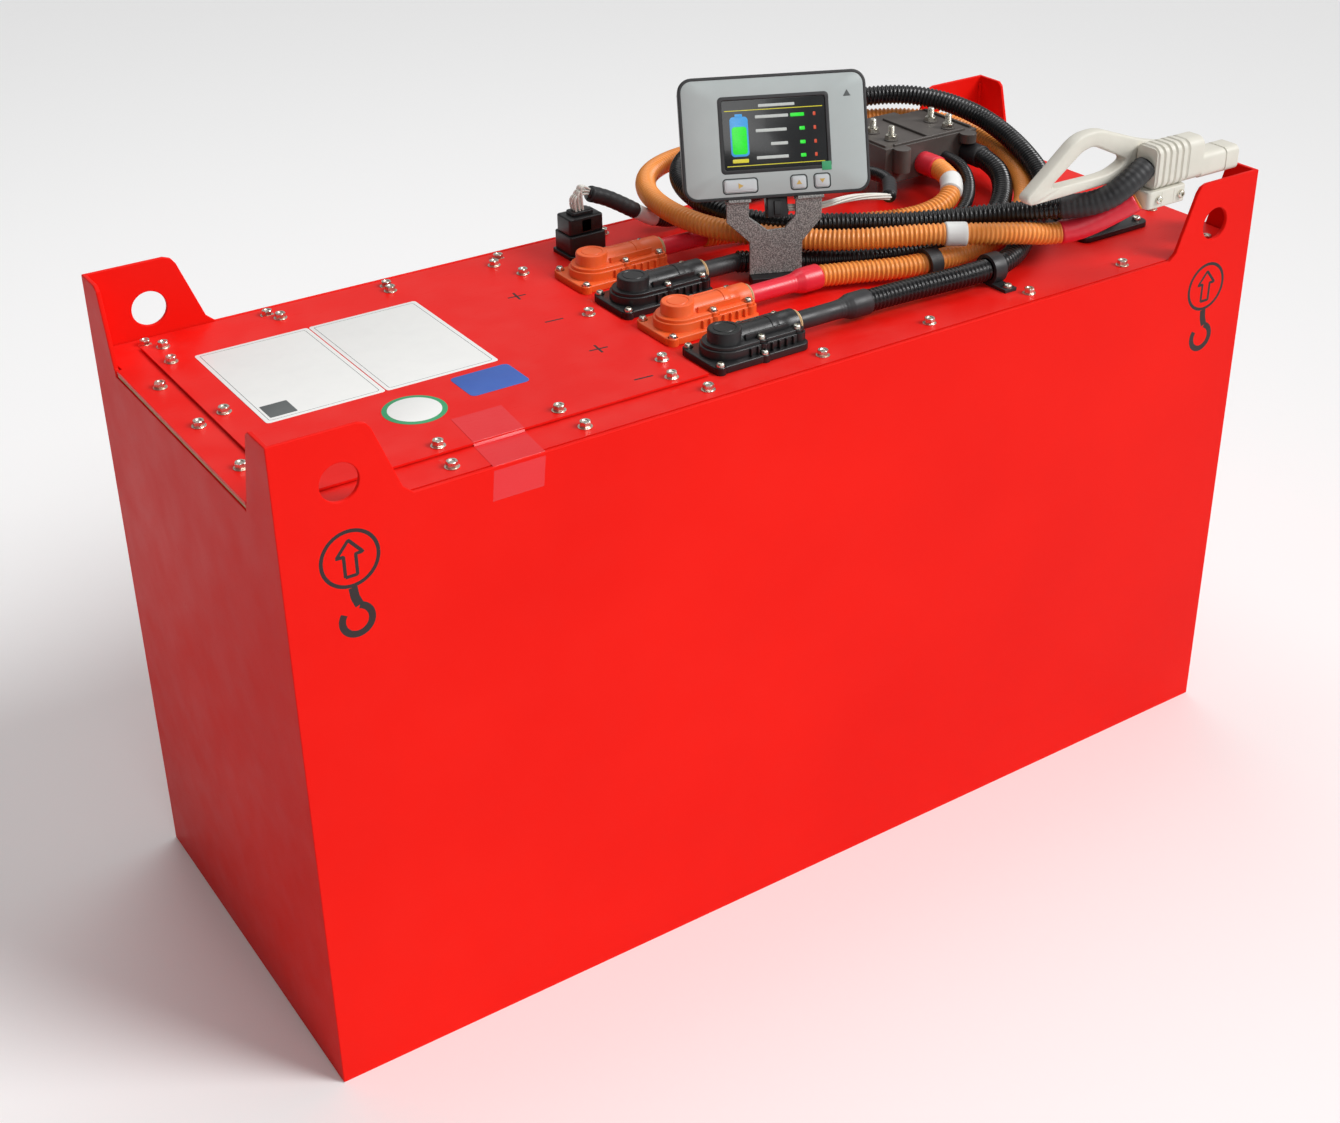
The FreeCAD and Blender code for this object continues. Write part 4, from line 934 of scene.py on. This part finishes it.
def half_barrel(y):
    """The upper half of the barrel: an arch along x, with a collar at its mouth, a step
    where it meets the boss, and a low spine on top."""
    profile = numbers(
        (-8, 12.2), (0, 12.2), (0.6, 12.8), (20, 12.8), (20.6, 12.4), (44, 12.4), (44.6, 13),
        (46, 13), (50, 13), (51, 12.5), (52, 12.5), (58, 12.5), (59, 13), (66, 13), (72.4, 13),
        (73, 12.5))
    across, up = circle(25, 0, math.pi, closed=True)
    across = np.concatenate([[1], across, [-1]])
    rings = np.stack([np.repeat(profile[:, :1], 27, axis=1), profile[:, 1:] * across,
                      profile[:, 1:] * np.concatenate([[0], up, [0]])], axis=-1)
    rings[:, (0, -1), 2] = -0.2
    return shifted(stack_rings(rings), BOSS, y, SPLIT)


def connector_cover(y):
    """The upper half: brim, boss with a ring pressed into its top, arched barrel and the
    ears that its four screws hold."""
    return join([
        stadium_slab(72, 40, 4, 0, 3, 0.8, (BOSS, y, SPLIT)),
        turned([(15.6, 2.5), (15.0, 3.6), (15.0, 12.6), (14.6, 13.5), (13.8, 14.0),
                (10.6, 14.0), (10.2, 13.5), (9.6, 13.5), (9.2, 14.0), (0.1, 14.0)], 48,
               (BOSS, y, SPLIT)),
        half_barrel(y),
        *spread(turned([(4.6, 0), (4.6, 2.6), (4.2, 3.0), (0.1, 3.0)], 22),
                pairs((BOSS + 27, BOSS + 65), y, 17.2, SPLIT)),
        *spread(slab(46, 1.8, 0.6, 0, 6.5, 0.4), pairs((BOSS + 36,), y, 12.8, SPLIT + 2))])


for tag, rows, material in (("minus", ROWS[::2], CONNECTOR_BLACK),
                            ("plus", ROWS[1::2], CONNECTOR_ORANGE)):
    in_mm(tag + "_connector_flanges", join([connector_base(y) for y in rows]), material,
          replaces=tag + "_connector_bases")
    in_mm(tag + "_connector_caps", join([connector_cover(y) for y in rows]), material,
          replaces=tag + "_connector_covers")

seal = along_x(turned([(6.9, 0), (10.2, 0), (10.9, 0.6), (10.9, 1.6), (10.3, 2.0), (10.9, 2.4),
                       (10.9, 3.4), (10.2, 4.0), (6.9, 4.0)], 36))
in_mm("connector_ring_seals", join(spread(seal, [(0, y, SPLIT) for y in ROWS])), TAN_SEAL,
      replaces="connector_seals")


def shrink_sleeve(length, stepped, y):
    """A shrunk sleeve along x: it follows the cable's step, with shallow wrinkles near the
    step and a rolled lip at its far end."""
    if stepped:
        marks = [(0, 8.2), (3, 8.5), (42, 8.5), (50, 9.0), (55, 10.6), (58, 11.6), (63, 11.9),
                 (length - 2, 11.95), (length - 0.6, 11.9), (length, 11.3)]
    else:
        marks = [(0, 8.0), (3, 8.4), (length - 8, 8.5), (length - 2, 8.5), (length, 8.0)]
    heights = np.linspace(0, length, 90)
    radii = np.interp(heights, *zip(*marks))
    radii -= 0.10 * (1 + np.sin(heights * 1.9)) * np.exp(-((heights - 0.62 * length) / 9) ** 2)
    rings = np.column_stack([radii, heights]).tolist()
    return shifted(along_x(turned([(0.2, 0)] + rings + [(0.2, length)], 32)), 4, y, SPLIT)


port = along_y(turned([(0.2, 0), (11.3, 0), (11.9, 0.6), (12.0, 3), (11.7, 6), (12.0, 9),
                       (11.7, 12), (12.0, 15), (11.8, 19), (11.9, 23), (11.4, 24), (0.2, 24)],
                      32))
for colour, rows, short, x, material in (("black", ROWS[::2], 40, 394, SHRINK_BLACK),
                                         ("red", ROWS[1::2], 51, 334, SHRINK_RED)):
    in_mm(colour + "_shrink_sleeves", join([
        shrink_sleeve(79, True, rows[0]), shrink_sleeve(short, False, rows[1]),
        shifted(port, x, 60, 577)]), material, replaces=colour + "_sleeves", sharp=60)
eased("cable_clamps", 0.8, SHRINK_BLACK)


# ---------------------------------------------------------------- what is on the cables
def wrap(name, cable, start, end, radius, material, ripple=0.0, pitch=6.0):
    """A sleeve, tape or tie round a cable between two distances along it in metres, counted
    from its far end where they are negative. Its radius in mm ripples once every pitch, and
    its ends close down on the cable."""
    _, line, length = cables[cable]
    if start < 0:
        start, end = length + start, length + end
    line = spaced(line, max(int((end - start) / (1.5 * MM)), 8), start, end)
    along = np.linspace(0, (end - start) / MM, len(line))
    radii = radius + ripple * np.sin(along / pitch * FULL_TURN)
    radii *= np.where((along < 1.0) | (along > along[-1] - 1.0), 0.97, 1.0)
    return make_mesh(name, tube(line, radii * MM, 28), material)


minus_long = cables["discharge_minus"][2]
riders = {cable: [] for cable in cables}
for name, cable, *rest in (
        ("plug_sleeve_minus", "discharge_minus", -0.092, -0.002, 11.5, SHRINK_BLACK, 0.28, 5.5),
        ("plug_sleeve_plus", "discharge_plus", -0.078, -0.002, 11.4, SHRINK_RED, 0.05, 9.0),
        ("front_tag", "discharge_plus", -0.192, -0.172, 11.5, WHITE_FILM),
        ("cable_tie_minus", "discharge_minus", 0.79, 0.794, 11.6, CONNECTOR_BLACK),
        ("cable_tie_plus", "discharge_plus", minus_long - 0.33, minus_long - 0.326, 11.6,
         CONNECTOR_BLACK),
        ("charge_tag", "charge_plus", -0.050, -0.028, 11.4, WHITE_FILM),
        ("data_collar_white", "data", 0.062, 0.086, 7.4, WHITE_FILM),
        ("data_boot", "data", 0.002, 0.060, 8.0, SHRINK_BLACK, 0.15, 8.0),
        ("data_end_tape", "data", -0.034, -0.001, 7.2, SHRINK_BLACK, 0.1, 6.0)):
    riders[cable].append(wrap(name, cable, *rest))

# ---------------------------------------------------------------- pressure vent
VENT = (413.5, -76.5)


def build_vent():
    """A square flange with rounded corners and a raised ring, under a slotted round cap."""
    flange = join([slab(89, 89, 9, 0, 6, 1.2),
                   turned([(34.5, 5.5), (34.5, 7.2), (33.9, 7.8), (31.6, 7.8), (31.0, 7.2),
                           (31.0, 5.5)], 64)])
    in_mm("vent_flange", shifted(flange, *VENT, LID_TOP), CONNECTOR_BLACK,
          replaces="vent_base")
    cap = turned([(27.2, 6.0), (29.6, 6.0), (30.0, 6.5), (30.0, 8.0), (28.4, 8.6),
                  (28.4, 13.4), (30.0, 14.0), (30.0, 19.6), (29.2, 20.6), (28.0, 21.0),
                  (21.0, 21.0), (20.2, 20.3), (16.0, 20.3), (15.2, 21.0), (0.1, 21.0)], 72)
    fin_count = 24
    fins = [moved(slab(1.6, 3.0, 0.4, 8.2, 14.0, 0.3, (28.6, 0, 0)),
                  Matrix.Rotation(i / fin_count * FULL_TURN, 4, "Z")) for i in range(fin_count)]
    in_mm("vent_top", shifted(join([cap] + fins), *VENT, LID_TOP), CONNECTOR_BLACK,
          replaces="vent_cap")


def valve_spring():
    """A coil of two and a half turns round the valve's stem, from the disc to the cap, with a
    mesh of its own."""
    part = np.linspace(0, 1, 121)
    turn = part * 2.5 * FULL_TURN
    line = np.column_stack([VENT[0] + 8 * np.cos(turn), VENT[1] + 8 * np.sin(turn),
                            551.35 + 7.8 * part])
    coil = in_mm("valve_spring", tube(line, 0.8, 10), ZINC, replaces="vent_spring")
    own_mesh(coil)


build_vent()
eased("vent_valve", 0.3, CONNECTOR_BLACK, body="valve")
valve_spring()

# ---------------------------------------------------------------- display on its bracket
TURN = (Matrix.Translation((68, -22, 625)) @ Matrix.Rotation(math.radians(-24), 4, "Z")
        @ Matrix.Rotation(math.radians(-20), 4, "X"))


def on_display(name, parts, material, body="pack", replaces=None):
    """A piece drawn upright in the display's own frame, in millimetres: x to the right, y
    to the back, z up."""
    in_mm(name, moved(join(parts), TURN), material, body, replaces)


def facing(width, height, radius, front, back, ease, x, z):
    """A rounded plate: width along x, height along z, from front to back along y."""
    return shifted(axes_as(slab(width, height, radius, 0, back - front, ease), 1, 3, 2), x,
                   front, z)


def frame_plate(outer, opening, front, back, x, z, opening_z, ease=0.8):
    """A rounded plate with a rounded opening, both given as width, height and radius: loops
    joined in turn, from the rim's back over its front to the opening's back, and closed
    behind."""
    (width, height, radius), (wide, high, corner) = outer, opening
    rings = []
    for across, up, bend, level, middle in (
            (width, height, radius, back, z), (width, height, radius, front + ease, z),
            (width - 0.6 * ease, height - 0.6 * ease, radius, front + 0.3 * ease, z),
            (width - 2 * ease, height - 2 * ease, radius - ease, front, z),
            (wide + 0.8, high + 0.8, corner + 0.4, front, opening_z),
            (wide, high, corner, front + 0.4, opening_z),
            (wide, high, corner, back, opening_z), (width, height, radius, back, z)):
        line = rounded_rectangle(across, up, bend, 8)
        rings.append(np.column_stack([line[:, 0] + x, np.full(len(line), level),
                                      line[:, 1] + middle]))
    rings = np.array(rings)
    return rings.reshape(-1, 3), grid_faces(*rings.shape[:2])


def triangle(corners, front, back):
    """A thin triangle facing the viewer: corners in x and z, from front to back in y."""
    points = [(x, y, z) for y in (front, back) for x, z in corners]
    return numbers(*points), [(0, 1, 2), (3, 5, 4), (0, 3, 4, 1), (1, 4, 5, 2), (2, 5, 3, 0)]


def build_screen():
    """What the screen shows: a cell with its level, and bars in the place of words."""
    rows = (74, 61.5, 49, 37)
    for tag, material, parts in (
            ("title", LIT_PALE, [(34, 2.6, 3, 84)]),
            ("rules", LIT_AMBER, [(92, 0.7, 0, 80.5), (92, 0.7, 0, 30.5), (15, 3.4, -33, 35)]),
            ("cell_case", LIT_BLUE, [(17, 36, -33, 57), (7, 3, -33, 76)]),
            ("cell_level", LIT_GREEN, [(14, 25, -33, 53.5), (13, 3.2, 22, 74),
                                       *[(5, 3.2, 26, z) for z in rows[1:]]]),
            ("names", LIT_PALE, [(31, 2.8, -2, 74), (29, 2.8, -3, 61.5), (16, 2.8, 4, 49),
                                 (30, 2.8, -3, 37)]),
            ("units", LIT_RED, [(2.4, 3.4, 38, z) for z in rows])):
        front = 0.80 if tag == "cell_level" else 0.86
        on_display("screen_" + tag, [facing(w, h, min(w, h) * 0.2, front, 1.0, 0.02, x, z)
                                     for w, h, x, z in parts], material)


# Each key's middle and width, and the corners of the triangle on it.
KEYS = (("left", -35, 30, [(-37, 9.9), (-32.2, 12.5), (-37, 15.1)]),
        ("middle", 20, 13, [(17.4, 10.6), (22.6, 10.6), (20, 14.6)]),
        ("right", 42, 13, [(39.4, 14.4), (44.6, 14.4), (42, 10.4)]))


def build_keys():
    """Three keys, each with a dark rim round it."""
    z = 12.5
    for tag, x, wide, _ in KEYS:
        on_display("display_key_" + tag, [
            facing(wide, 11, 2.4, -0.5, 3.1, 0.6, x, z),
            facing(wide - 3, 8, 1.8, -0.62, 0.2, 0.25, x, z)], KEY_GREY, tag + "_key",
            "key_" + tag)
        on_display("key_rim_" + tag, [frame_plate(
            (wide + 3.4, 14.4, 3.4), (wide + 0.9, 11.9, 2.6), 0.0, 0.6, x, z, z, 0.2)],
            DISPLAY_EDGE)


def build_display():
    """Black surround, pale face plate let into it, screen, keys, and a rounded case behind.
    The face plate has no openings for the keys, which stand in front of it at rest."""
    on_display("display_surround", [frame_plate((176, 112, 13), (170.5, 106.5, 10.5), 0, 3, 0,
                                                56, 56)], DISPLAY_EDGE,
               replaces="display_bezel")
    on_display("display_face", [frame_plate((170.4, 106.4, 10.4), (97.4, 63.4, 2.5), 0.25, 3,
                                            0, 56, 58.5, 0.3)], DISPLAY_GREY)
    on_display("screen_lip", [frame_plate((104, 70, 4), (97.2, 63.2, 2.4), 0.05, 1.0, 0, 58.5,
                                          58.5, 0.25)], DISPLAY_EDGE)
    on_display("display_glass", [facing(97, 63, 2.3, 0.9, 6.8, 0.25, 0, 58.5)], SCREEN,
               replaces="display_screen")
    on_display("display_shell", [facing(172, 109, 12, 3, 20.5, 2.5, 0, 55.5),
                                 facing(150, 88, 10, 19, 22, 1.5, 0, 55.5)], DISPLAY_EDGE,
               replaces="display_case")
    build_screen()
    for tag, _, _, corners in KEYS:
        on_display("key_mark_" + tag, [triangle(corners, -0.75, -0.5)], KEY_AMBER,
                   tag + "_key")
    on_display("alarm_mark", [triangle([(66, 88), (73, 88), (69.5, 94)], 0.1, 0.5)], MARK_GREY)
    on_display("green_sticker", [facing(9, 8, 0.6, -0.12, 0.4, 0.05, 47, 26)], LABEL_GREEN)
    on_display("display_back_screws", spread(
        along_y(pan_head(3.6, 1.4)), [(x, 20.4, z) for x in (-66, 66) for z in (18, 93)]), ZINC)
    build_keys()


build_display()
eased("display_bracket", 0.6, BRACKET_GREY)
eased("display_foot", 1.0, CONNECTOR_BLACK)
# The wires' plug: a block, a raised band and a latch.
on_display("display_wire_plug", [
    slab(20, 12, 1.5, -18, 0, 0.6, (0, 14, 0)), slab(21.4, 4.0, 0.8, -15, -11, 0.4, (0, 11, 0)),
    slab(7, 3.0, 0.8, -16, -3, 0.5, (0, 7, 0))], CONNECTOR_BLACK, replaces="display_plug")


# ---------------------------------------------------------------- charge inlet
def build_inlet():
    """The charge inlet: CAD body with eased edges, studs with nuts, and small raised
    ribs and edges on top."""
    eased("inlet_body", 1.4, INLET_GREY, segments=3)
    thread = [(3.5 if i % 2 else 3.15, z) for i, z in enumerate(np.arange(5.5, 14.8, 0.35))]
    stud = join([hexagon_head(6.5, 5.5),
                 turned([(0.1, 4.0)] + thread + [(2.9, 15.0), (0.1, 15.0)], 20)])
    spots = [(*(low[:2] + high[:2]) / 2, low[2]) for low, high in spots_of("inlet_studs")]
    in_mm("inlet_stud_nuts", join(spread(stud, spots)), ZINC, replaces="inlet_studs", sharp=25)
    top = 599.8
    ribs = spread(slab(3, 74, 0.8, 0, 2.6, 0.7), [(x, 126, top) for x in (287, 344.5, 402)])
    ribs.append(slab(96, 3, 0.8, 0, 2.6, 0.7, (344.5, 88, top)))
    ribs += spread(turned([(7.4, 0), (7.4, 1.2), (6.8, 1.6), (0.1, 1.6)], 28), [
        (x, y, top) for x, y in ((308, 106), (308, 136), (382, 102), (382, 130))])
    in_mm("inlet_top_ribs", join(ribs), INLET_GREY)


build_inlet()

# ---------------------------------------------------------------- truck plug
PLUG_Y = -181
PLUG_REAR = 377


def plug_loft(width, height, radius, z, steps):
    """A rounded section carried along x: at each (x, shrink) it is smaller all round."""
    rings = []
    for x, shrink in steps:
        line = rounded_rectangle(width - 2 * shrink, height - 2 * shrink, radius, 9)
        rings.append(np.column_stack([np.full(len(line), x), line[:, 0] + PLUG_Y,
                                      line[:, 1] + z]))
    return rings


def build_plug():
    """Grip with ribs, nose with its two mouths cut out of it, lower clamp and screws."""
    ribs = [(PLUG_REAR + 1.5 + i * 8.0 + step, shrink) for i in range(5)
            for step, shrink in ((0, 1.2), (0.8, 0.0), (5.4, 0.0), (6.2, 1.2), (7.4, 1.6))]
    ribs += [(419, 1.2), (420, 0.2), (438.6, 0.2), (440, 1.4)]
    grip = in_mm("plug_grip", stack_rings(
        plug_loft(25, 38, 4, 637, [(PLUG_REAR, 0)]) + plug_loft(29, 42, 9, 637, ribs)),
        PLUG_GREY)
    nose = in_mm("plug_nose", stack_rings(plug_loft(27, 24, 6, 628, [
        (439, 0), (470, 0), (470.6, 0.8), (472, 0.8), (472.6, 0), (488.8, 0), (490, 1.0)])),
        PLUG_GREY, replaces="plug_housing")
    mouth = along_x(slab(16, 9.2, 1.2, 0, 27, 0.1))
    mouths = in_mm("plug_bores", join(spread(mouth, pairs((464,), PLUG_Y, 6.2, 628))),
                   PLUG_GREY)
    boolean(nose, "DIFFERENCE", mouths)
    nose.data.set_sharp_from_angle(angle=math.radians(32))
    bpy.data.objects.remove(mouths)
    clamp = in_mm("plug_lower_clamp", join([
        slab(50, 28.4, 4, 0, 17, 1.5, (394.6, PLUG_Y, 599)),
        *spread(slab(3, 29, 1, 1, 16, 0.8), [(x, PLUG_Y, 599) for x in (404, 388)])]),
        PLUG_GREY, replaces="plug_clamp")
    heads = spread(axes_as(pan_head(4.0, 3.0), 1, -3, 2),
                   [(x, -195.4, 607.5) for x in (383, 412)])
    screws = in_mm("plug_screw_heads", join(heads), ZINC, replaces="plug_screws")
    return [grip, nose], [clamp, screws]


def softened(corners, reach):
    """A closed outline whose corners are each replaced by a quadratic curve that starts and
    ends at the reach from the corner, or at 0.45 of the shorter side."""
    corners = numbers(*corners)
    spots = []
    for i, corner in enumerate(corners):
        before, after = corners[i - 1] - corner, corners[(i + 1) % len(corners)] - corner
        size = min(reach, 0.45 * np.linalg.norm(before), 0.45 * np.linalg.norm(after))
        first = corner + before / np.linalg.norm(before) * size
        last = corner + after / np.linalg.norm(after) * size
        for part in np.linspace(0, 1, 9):
            spots.append((1 - part) ** 2 * first + 2 * part * (1 - part) * corner
                         + part ** 2 * last)
    return np.array(spots)


def seen_from(centre, outline, angles):
    """Where rays from a centre at the given angles leave a closed outline round it."""
    rel = outline - centre
    rel = np.vstack([rel, rel[:1]])
    bearing = np.unwrap(np.arctan2(rel[:, 1], rel[:, 0]))
    if bearing[-1] < bearing[0]:
        rel, bearing = rel[::-1], bearing[::-1]
    wanted = bearing[0] + (angles - bearing[0]) % (2 * math.pi)
    fine = np.linspace(0, len(rel) - 1, 6000)
    dense = np.stack([np.interp(fine, np.arange(len(rel)), rel[:, i]) for i in range(2)], 1)
    turn = np.maximum.accumulate(np.unwrap(np.arctan2(dense[:, 1], dense[:, 0])))
    turn += bearing[0] - turn[0]
    return centre + np.stack([np.interp(wanted, turn, dense[:, i]) for i in range(2)], 1)


def build_handle():
    """The pull handle: a bar bent to a closed triangle with soft corners. Its section, an
    eased rectangle, is set between the outer and the inner outline at each bearing."""
    centre = numbers(-52, 30)
    outer = softened([(52, 10), (52, 30), (12, 40), (-50, 62.5), (-76, 60), (-136.5, 12),
                      (-131, 4.8), (0, 6)], 17)
    inner = softened([(-8, 25.5), (-54, 47), (-68, 45), (-110, 16), (-30, 16)], 12)
    angles = np.linspace(0, FULL_TURN, 260, endpoint=False)
    outside, inside = seen_from(centre, outer, angles), seen_from(centre, inner, angles)
    outward = outside - inside
    outward /= np.linalg.norm(outward, axis=1, keepdims=True)
    front, back, ease = -166.5, -153.5, 2.6
    quarter = ((0, 1), (0.3, 0.3), (1, 0))
    loop = [(outside - outward * inset * ease, front + step * ease) for inset, step in quarter]
    loop += [(inside + outward * inset * ease, front + step * ease)
             for inset, step in quarter[::-1]]
    loop += [(inside + outward * inset * ease, back - step * ease) for inset, step in quarter]
    loop += [(outside - outward * inset * ease, back - step * ease)
             for inset, step in quarter[::-1]]
    rings = np.stack([np.column_stack([at[:, 0] + PLUG_REAR, np.full(len(at), y),
                                       at[:, 1] + 616]) for at, y in loop], axis=1)
    rings = np.concatenate([rings, rings[:1]])
    bar = in_mm("pull_handle", (rings.reshape(-1, 3), grid_faces(*rings.shape[:2])), PLUG_GREY,
                replaces="plug_handle", sharp=50)
    web = moved(slab(2.0, 10.5, 0.6, -7, 7, 0.4), Matrix.Rotation(math.radians(52), 4, "Y"))
    webs = spread(web, [(297 - part * 40, -160, 661 - part * 32)
                        for part in np.linspace(0.16, 0.86, 5)])
    return [bar, in_mm("handle_ribs", join(webs), PLUG_GREY)]


plug_pieces, plug_clamp = build_plug()
plug_pieces += build_handle() + [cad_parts["plug_contacts"]]
riders["discharge_minus"][:0] = plug_pieces
riders["discharge_plus"][:0] = plug_clamp


# ---------------------------------------------------------------- data plug and gland
def build_data_plug():
    """Header with a skirt, the plug on it with a latch and a rounded neck, and the gland of
    the inlet's signal cable."""
    x, y = -44, 150
    in_mm("data_header", join([slab(44, 36, 3, 0, 4, 0.8, (x, y, LID_TOP)),
                               slab(40, 32, 3, 3.5, 23, 1.2, (x, y, LID_TOP))]),
          CONNECTOR_BLACK, replaces="com_header")
    top = LID_TOP + 23
    in_mm("data_plug_body", join([slab(38, 26, 3, 0, 17, 1.5, (x, y, top)),
                                  slab(12, 3, 1, 2, 15, 0.8, (x, 138.5, top)),
                                  slab(24, 15, 3, 16, 21, 1.5, (x, y, top))]),
          CONNECTOR_BLACK, replaces="com_plug")
    nut = along_x(turned([(0.1, 0), (8.5, 0), (9.0, 0.8), (9.0, 12), (8.0, 14), (8.0, 21.4),
                          (7.4, 22), (0.1, 22)], 12))
    in_mm("signal_gland_nut", join([slab(22, 20, 3, 0, 5, 0.8, (101, 24, LID_TOP)),
                                    shifted(nut, 90, 24, LID_TOP + 9)]),
          CONNECTOR_BLACK, replaces="signal_gland")


def data_plug_wires():
    """Nine wires that rise out of the data plug and gather at the end of its cable, each
    on a cubic curve."""
    end = cables["data"][1][0] / MM
    part = np.linspace(0, 1, 26)[:, None]
    strands = []
    for i in range(9):
        side, row = (i % 3 - 1) * 4.2, (i // 3 - 1) * 3.6
        start = numbers(-46 + row, 150 + side, LID_TOP + 42)
        top = start + numbers(-5 + row * 0.5, side * 0.2, 26 + row * 1.3)
        last = end + numbers(6, 0.35 * side, 0.35 * row)
        middle = last + numbers(-16, 0, 7 + row)
        line = ((1 - part) ** 3 * start + 3 * part * (1 - part) ** 2 * top
                + 3 * part ** 2 * (1 - part) * middle + part ** 3 * last)
        strands.append(tube(line, 1.15, 8))
    in_mm("data_plug_wires", join(strands), WIRE_WHITE, sharp=60)


build_data_plug()
data_plug_wires()

# ---------------------------------------------------------------- pieces inside
# These CAD nodes are shown as they are, and only get their material.
for material, nodes in (
        (CELL_METAL, ("cell_cases", "cell_terminals")),
        (COPPER, ("busbars", "connector_conductors", "inlet_contacts", "plug_contacts")),
        (WHITE_FILM, ("cell_spacers",)),
        (BLACK_STEEL, ("module_frame", "ballast_plates", "equipment_plate")),
        (CONNECTOR_BLACK, ("bms_case", "contactor")),
        (BOARD_GREEN, ("bms_board", "display_board"))):
    for node in nodes:
        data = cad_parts[node].data
        data.materials.clear()
        data.materials.append(material)


# ---------------------------------------------------------------- studio
def make_floor():
    """A pale floor, 28 m square."""
    half = 14
    data = bpy.data.meshes.new("floor")
    data.from_pydata([(-half, -half, 0), (half, -half, 0), (half, half, 0), (-half, half, 0)],
                     [], [(0, 1, 2, 3)])
    data.materials.append(shader_material("floor", lambda tree: {
        "Base Color": (0.93, 0.93, 0.93, 1), "Roughness": 0.7}))
    link("floor", data)


def make_world():
    """A white surround that is dimmer towards -x; the camera sees it at full strength."""
    world = bpy.data.worlds.new("studio")
    world.use_nodes = True
    tree = world.node_tree
    way = add_node(tree, "TexCoord", "Generated")
    rise = remap(tree, add_node(tree, "SeparateXYZ", "X", {"Vector": way}), -0.9, 0.7, 0.08,
                 0.44)
    strength = add_node(tree, "Mix", "Result", {
        "Factor": add_node(tree, "LightPath", "Is Camera Ray"), "A": rise, "B": 1.0})
    feed(tree.nodes["Background"].inputs["Color"], (1, 1, 1, 1))
    feed(tree.nodes["Background"].inputs["Strength"], strength)
    bpy.context.scene.world = world
    bpy.context.scene.view_settings.view_transform = "Standard"


def make_lights():
    """A low wide sun, and two broad square lights. The sun's size is its angle."""
    for name, kind, place, aim, size, power in (
            ("key_light", "SUN", (0.80, -0.85, 0.95), (0, 0, 0), 0.45, 2.45),
            ("fill_light", "AREA", (-0.9, -2.6, 2.4), (0, 0, 0.4), 1.6, 18),
            ("top_light", "AREA", (0.3, 0.9, 3.0), (0, 0, 0.5), 1.8, 24)):
        light = bpy.data.lights.new(name, kind)
        light.energy = power
        if kind == "SUN":
            light.angle = size
        else:
            light.shape = "SQUARE"
            light.size = size
        turn = (Vector(place) - Vector(aim)).to_track_quat("Z", "Y")
        link(name, light).matrix_world = (Matrix.Translation(place)
                                          @ turn.to_matrix().to_4x4())


make_floor()
make_world()
make_lights()
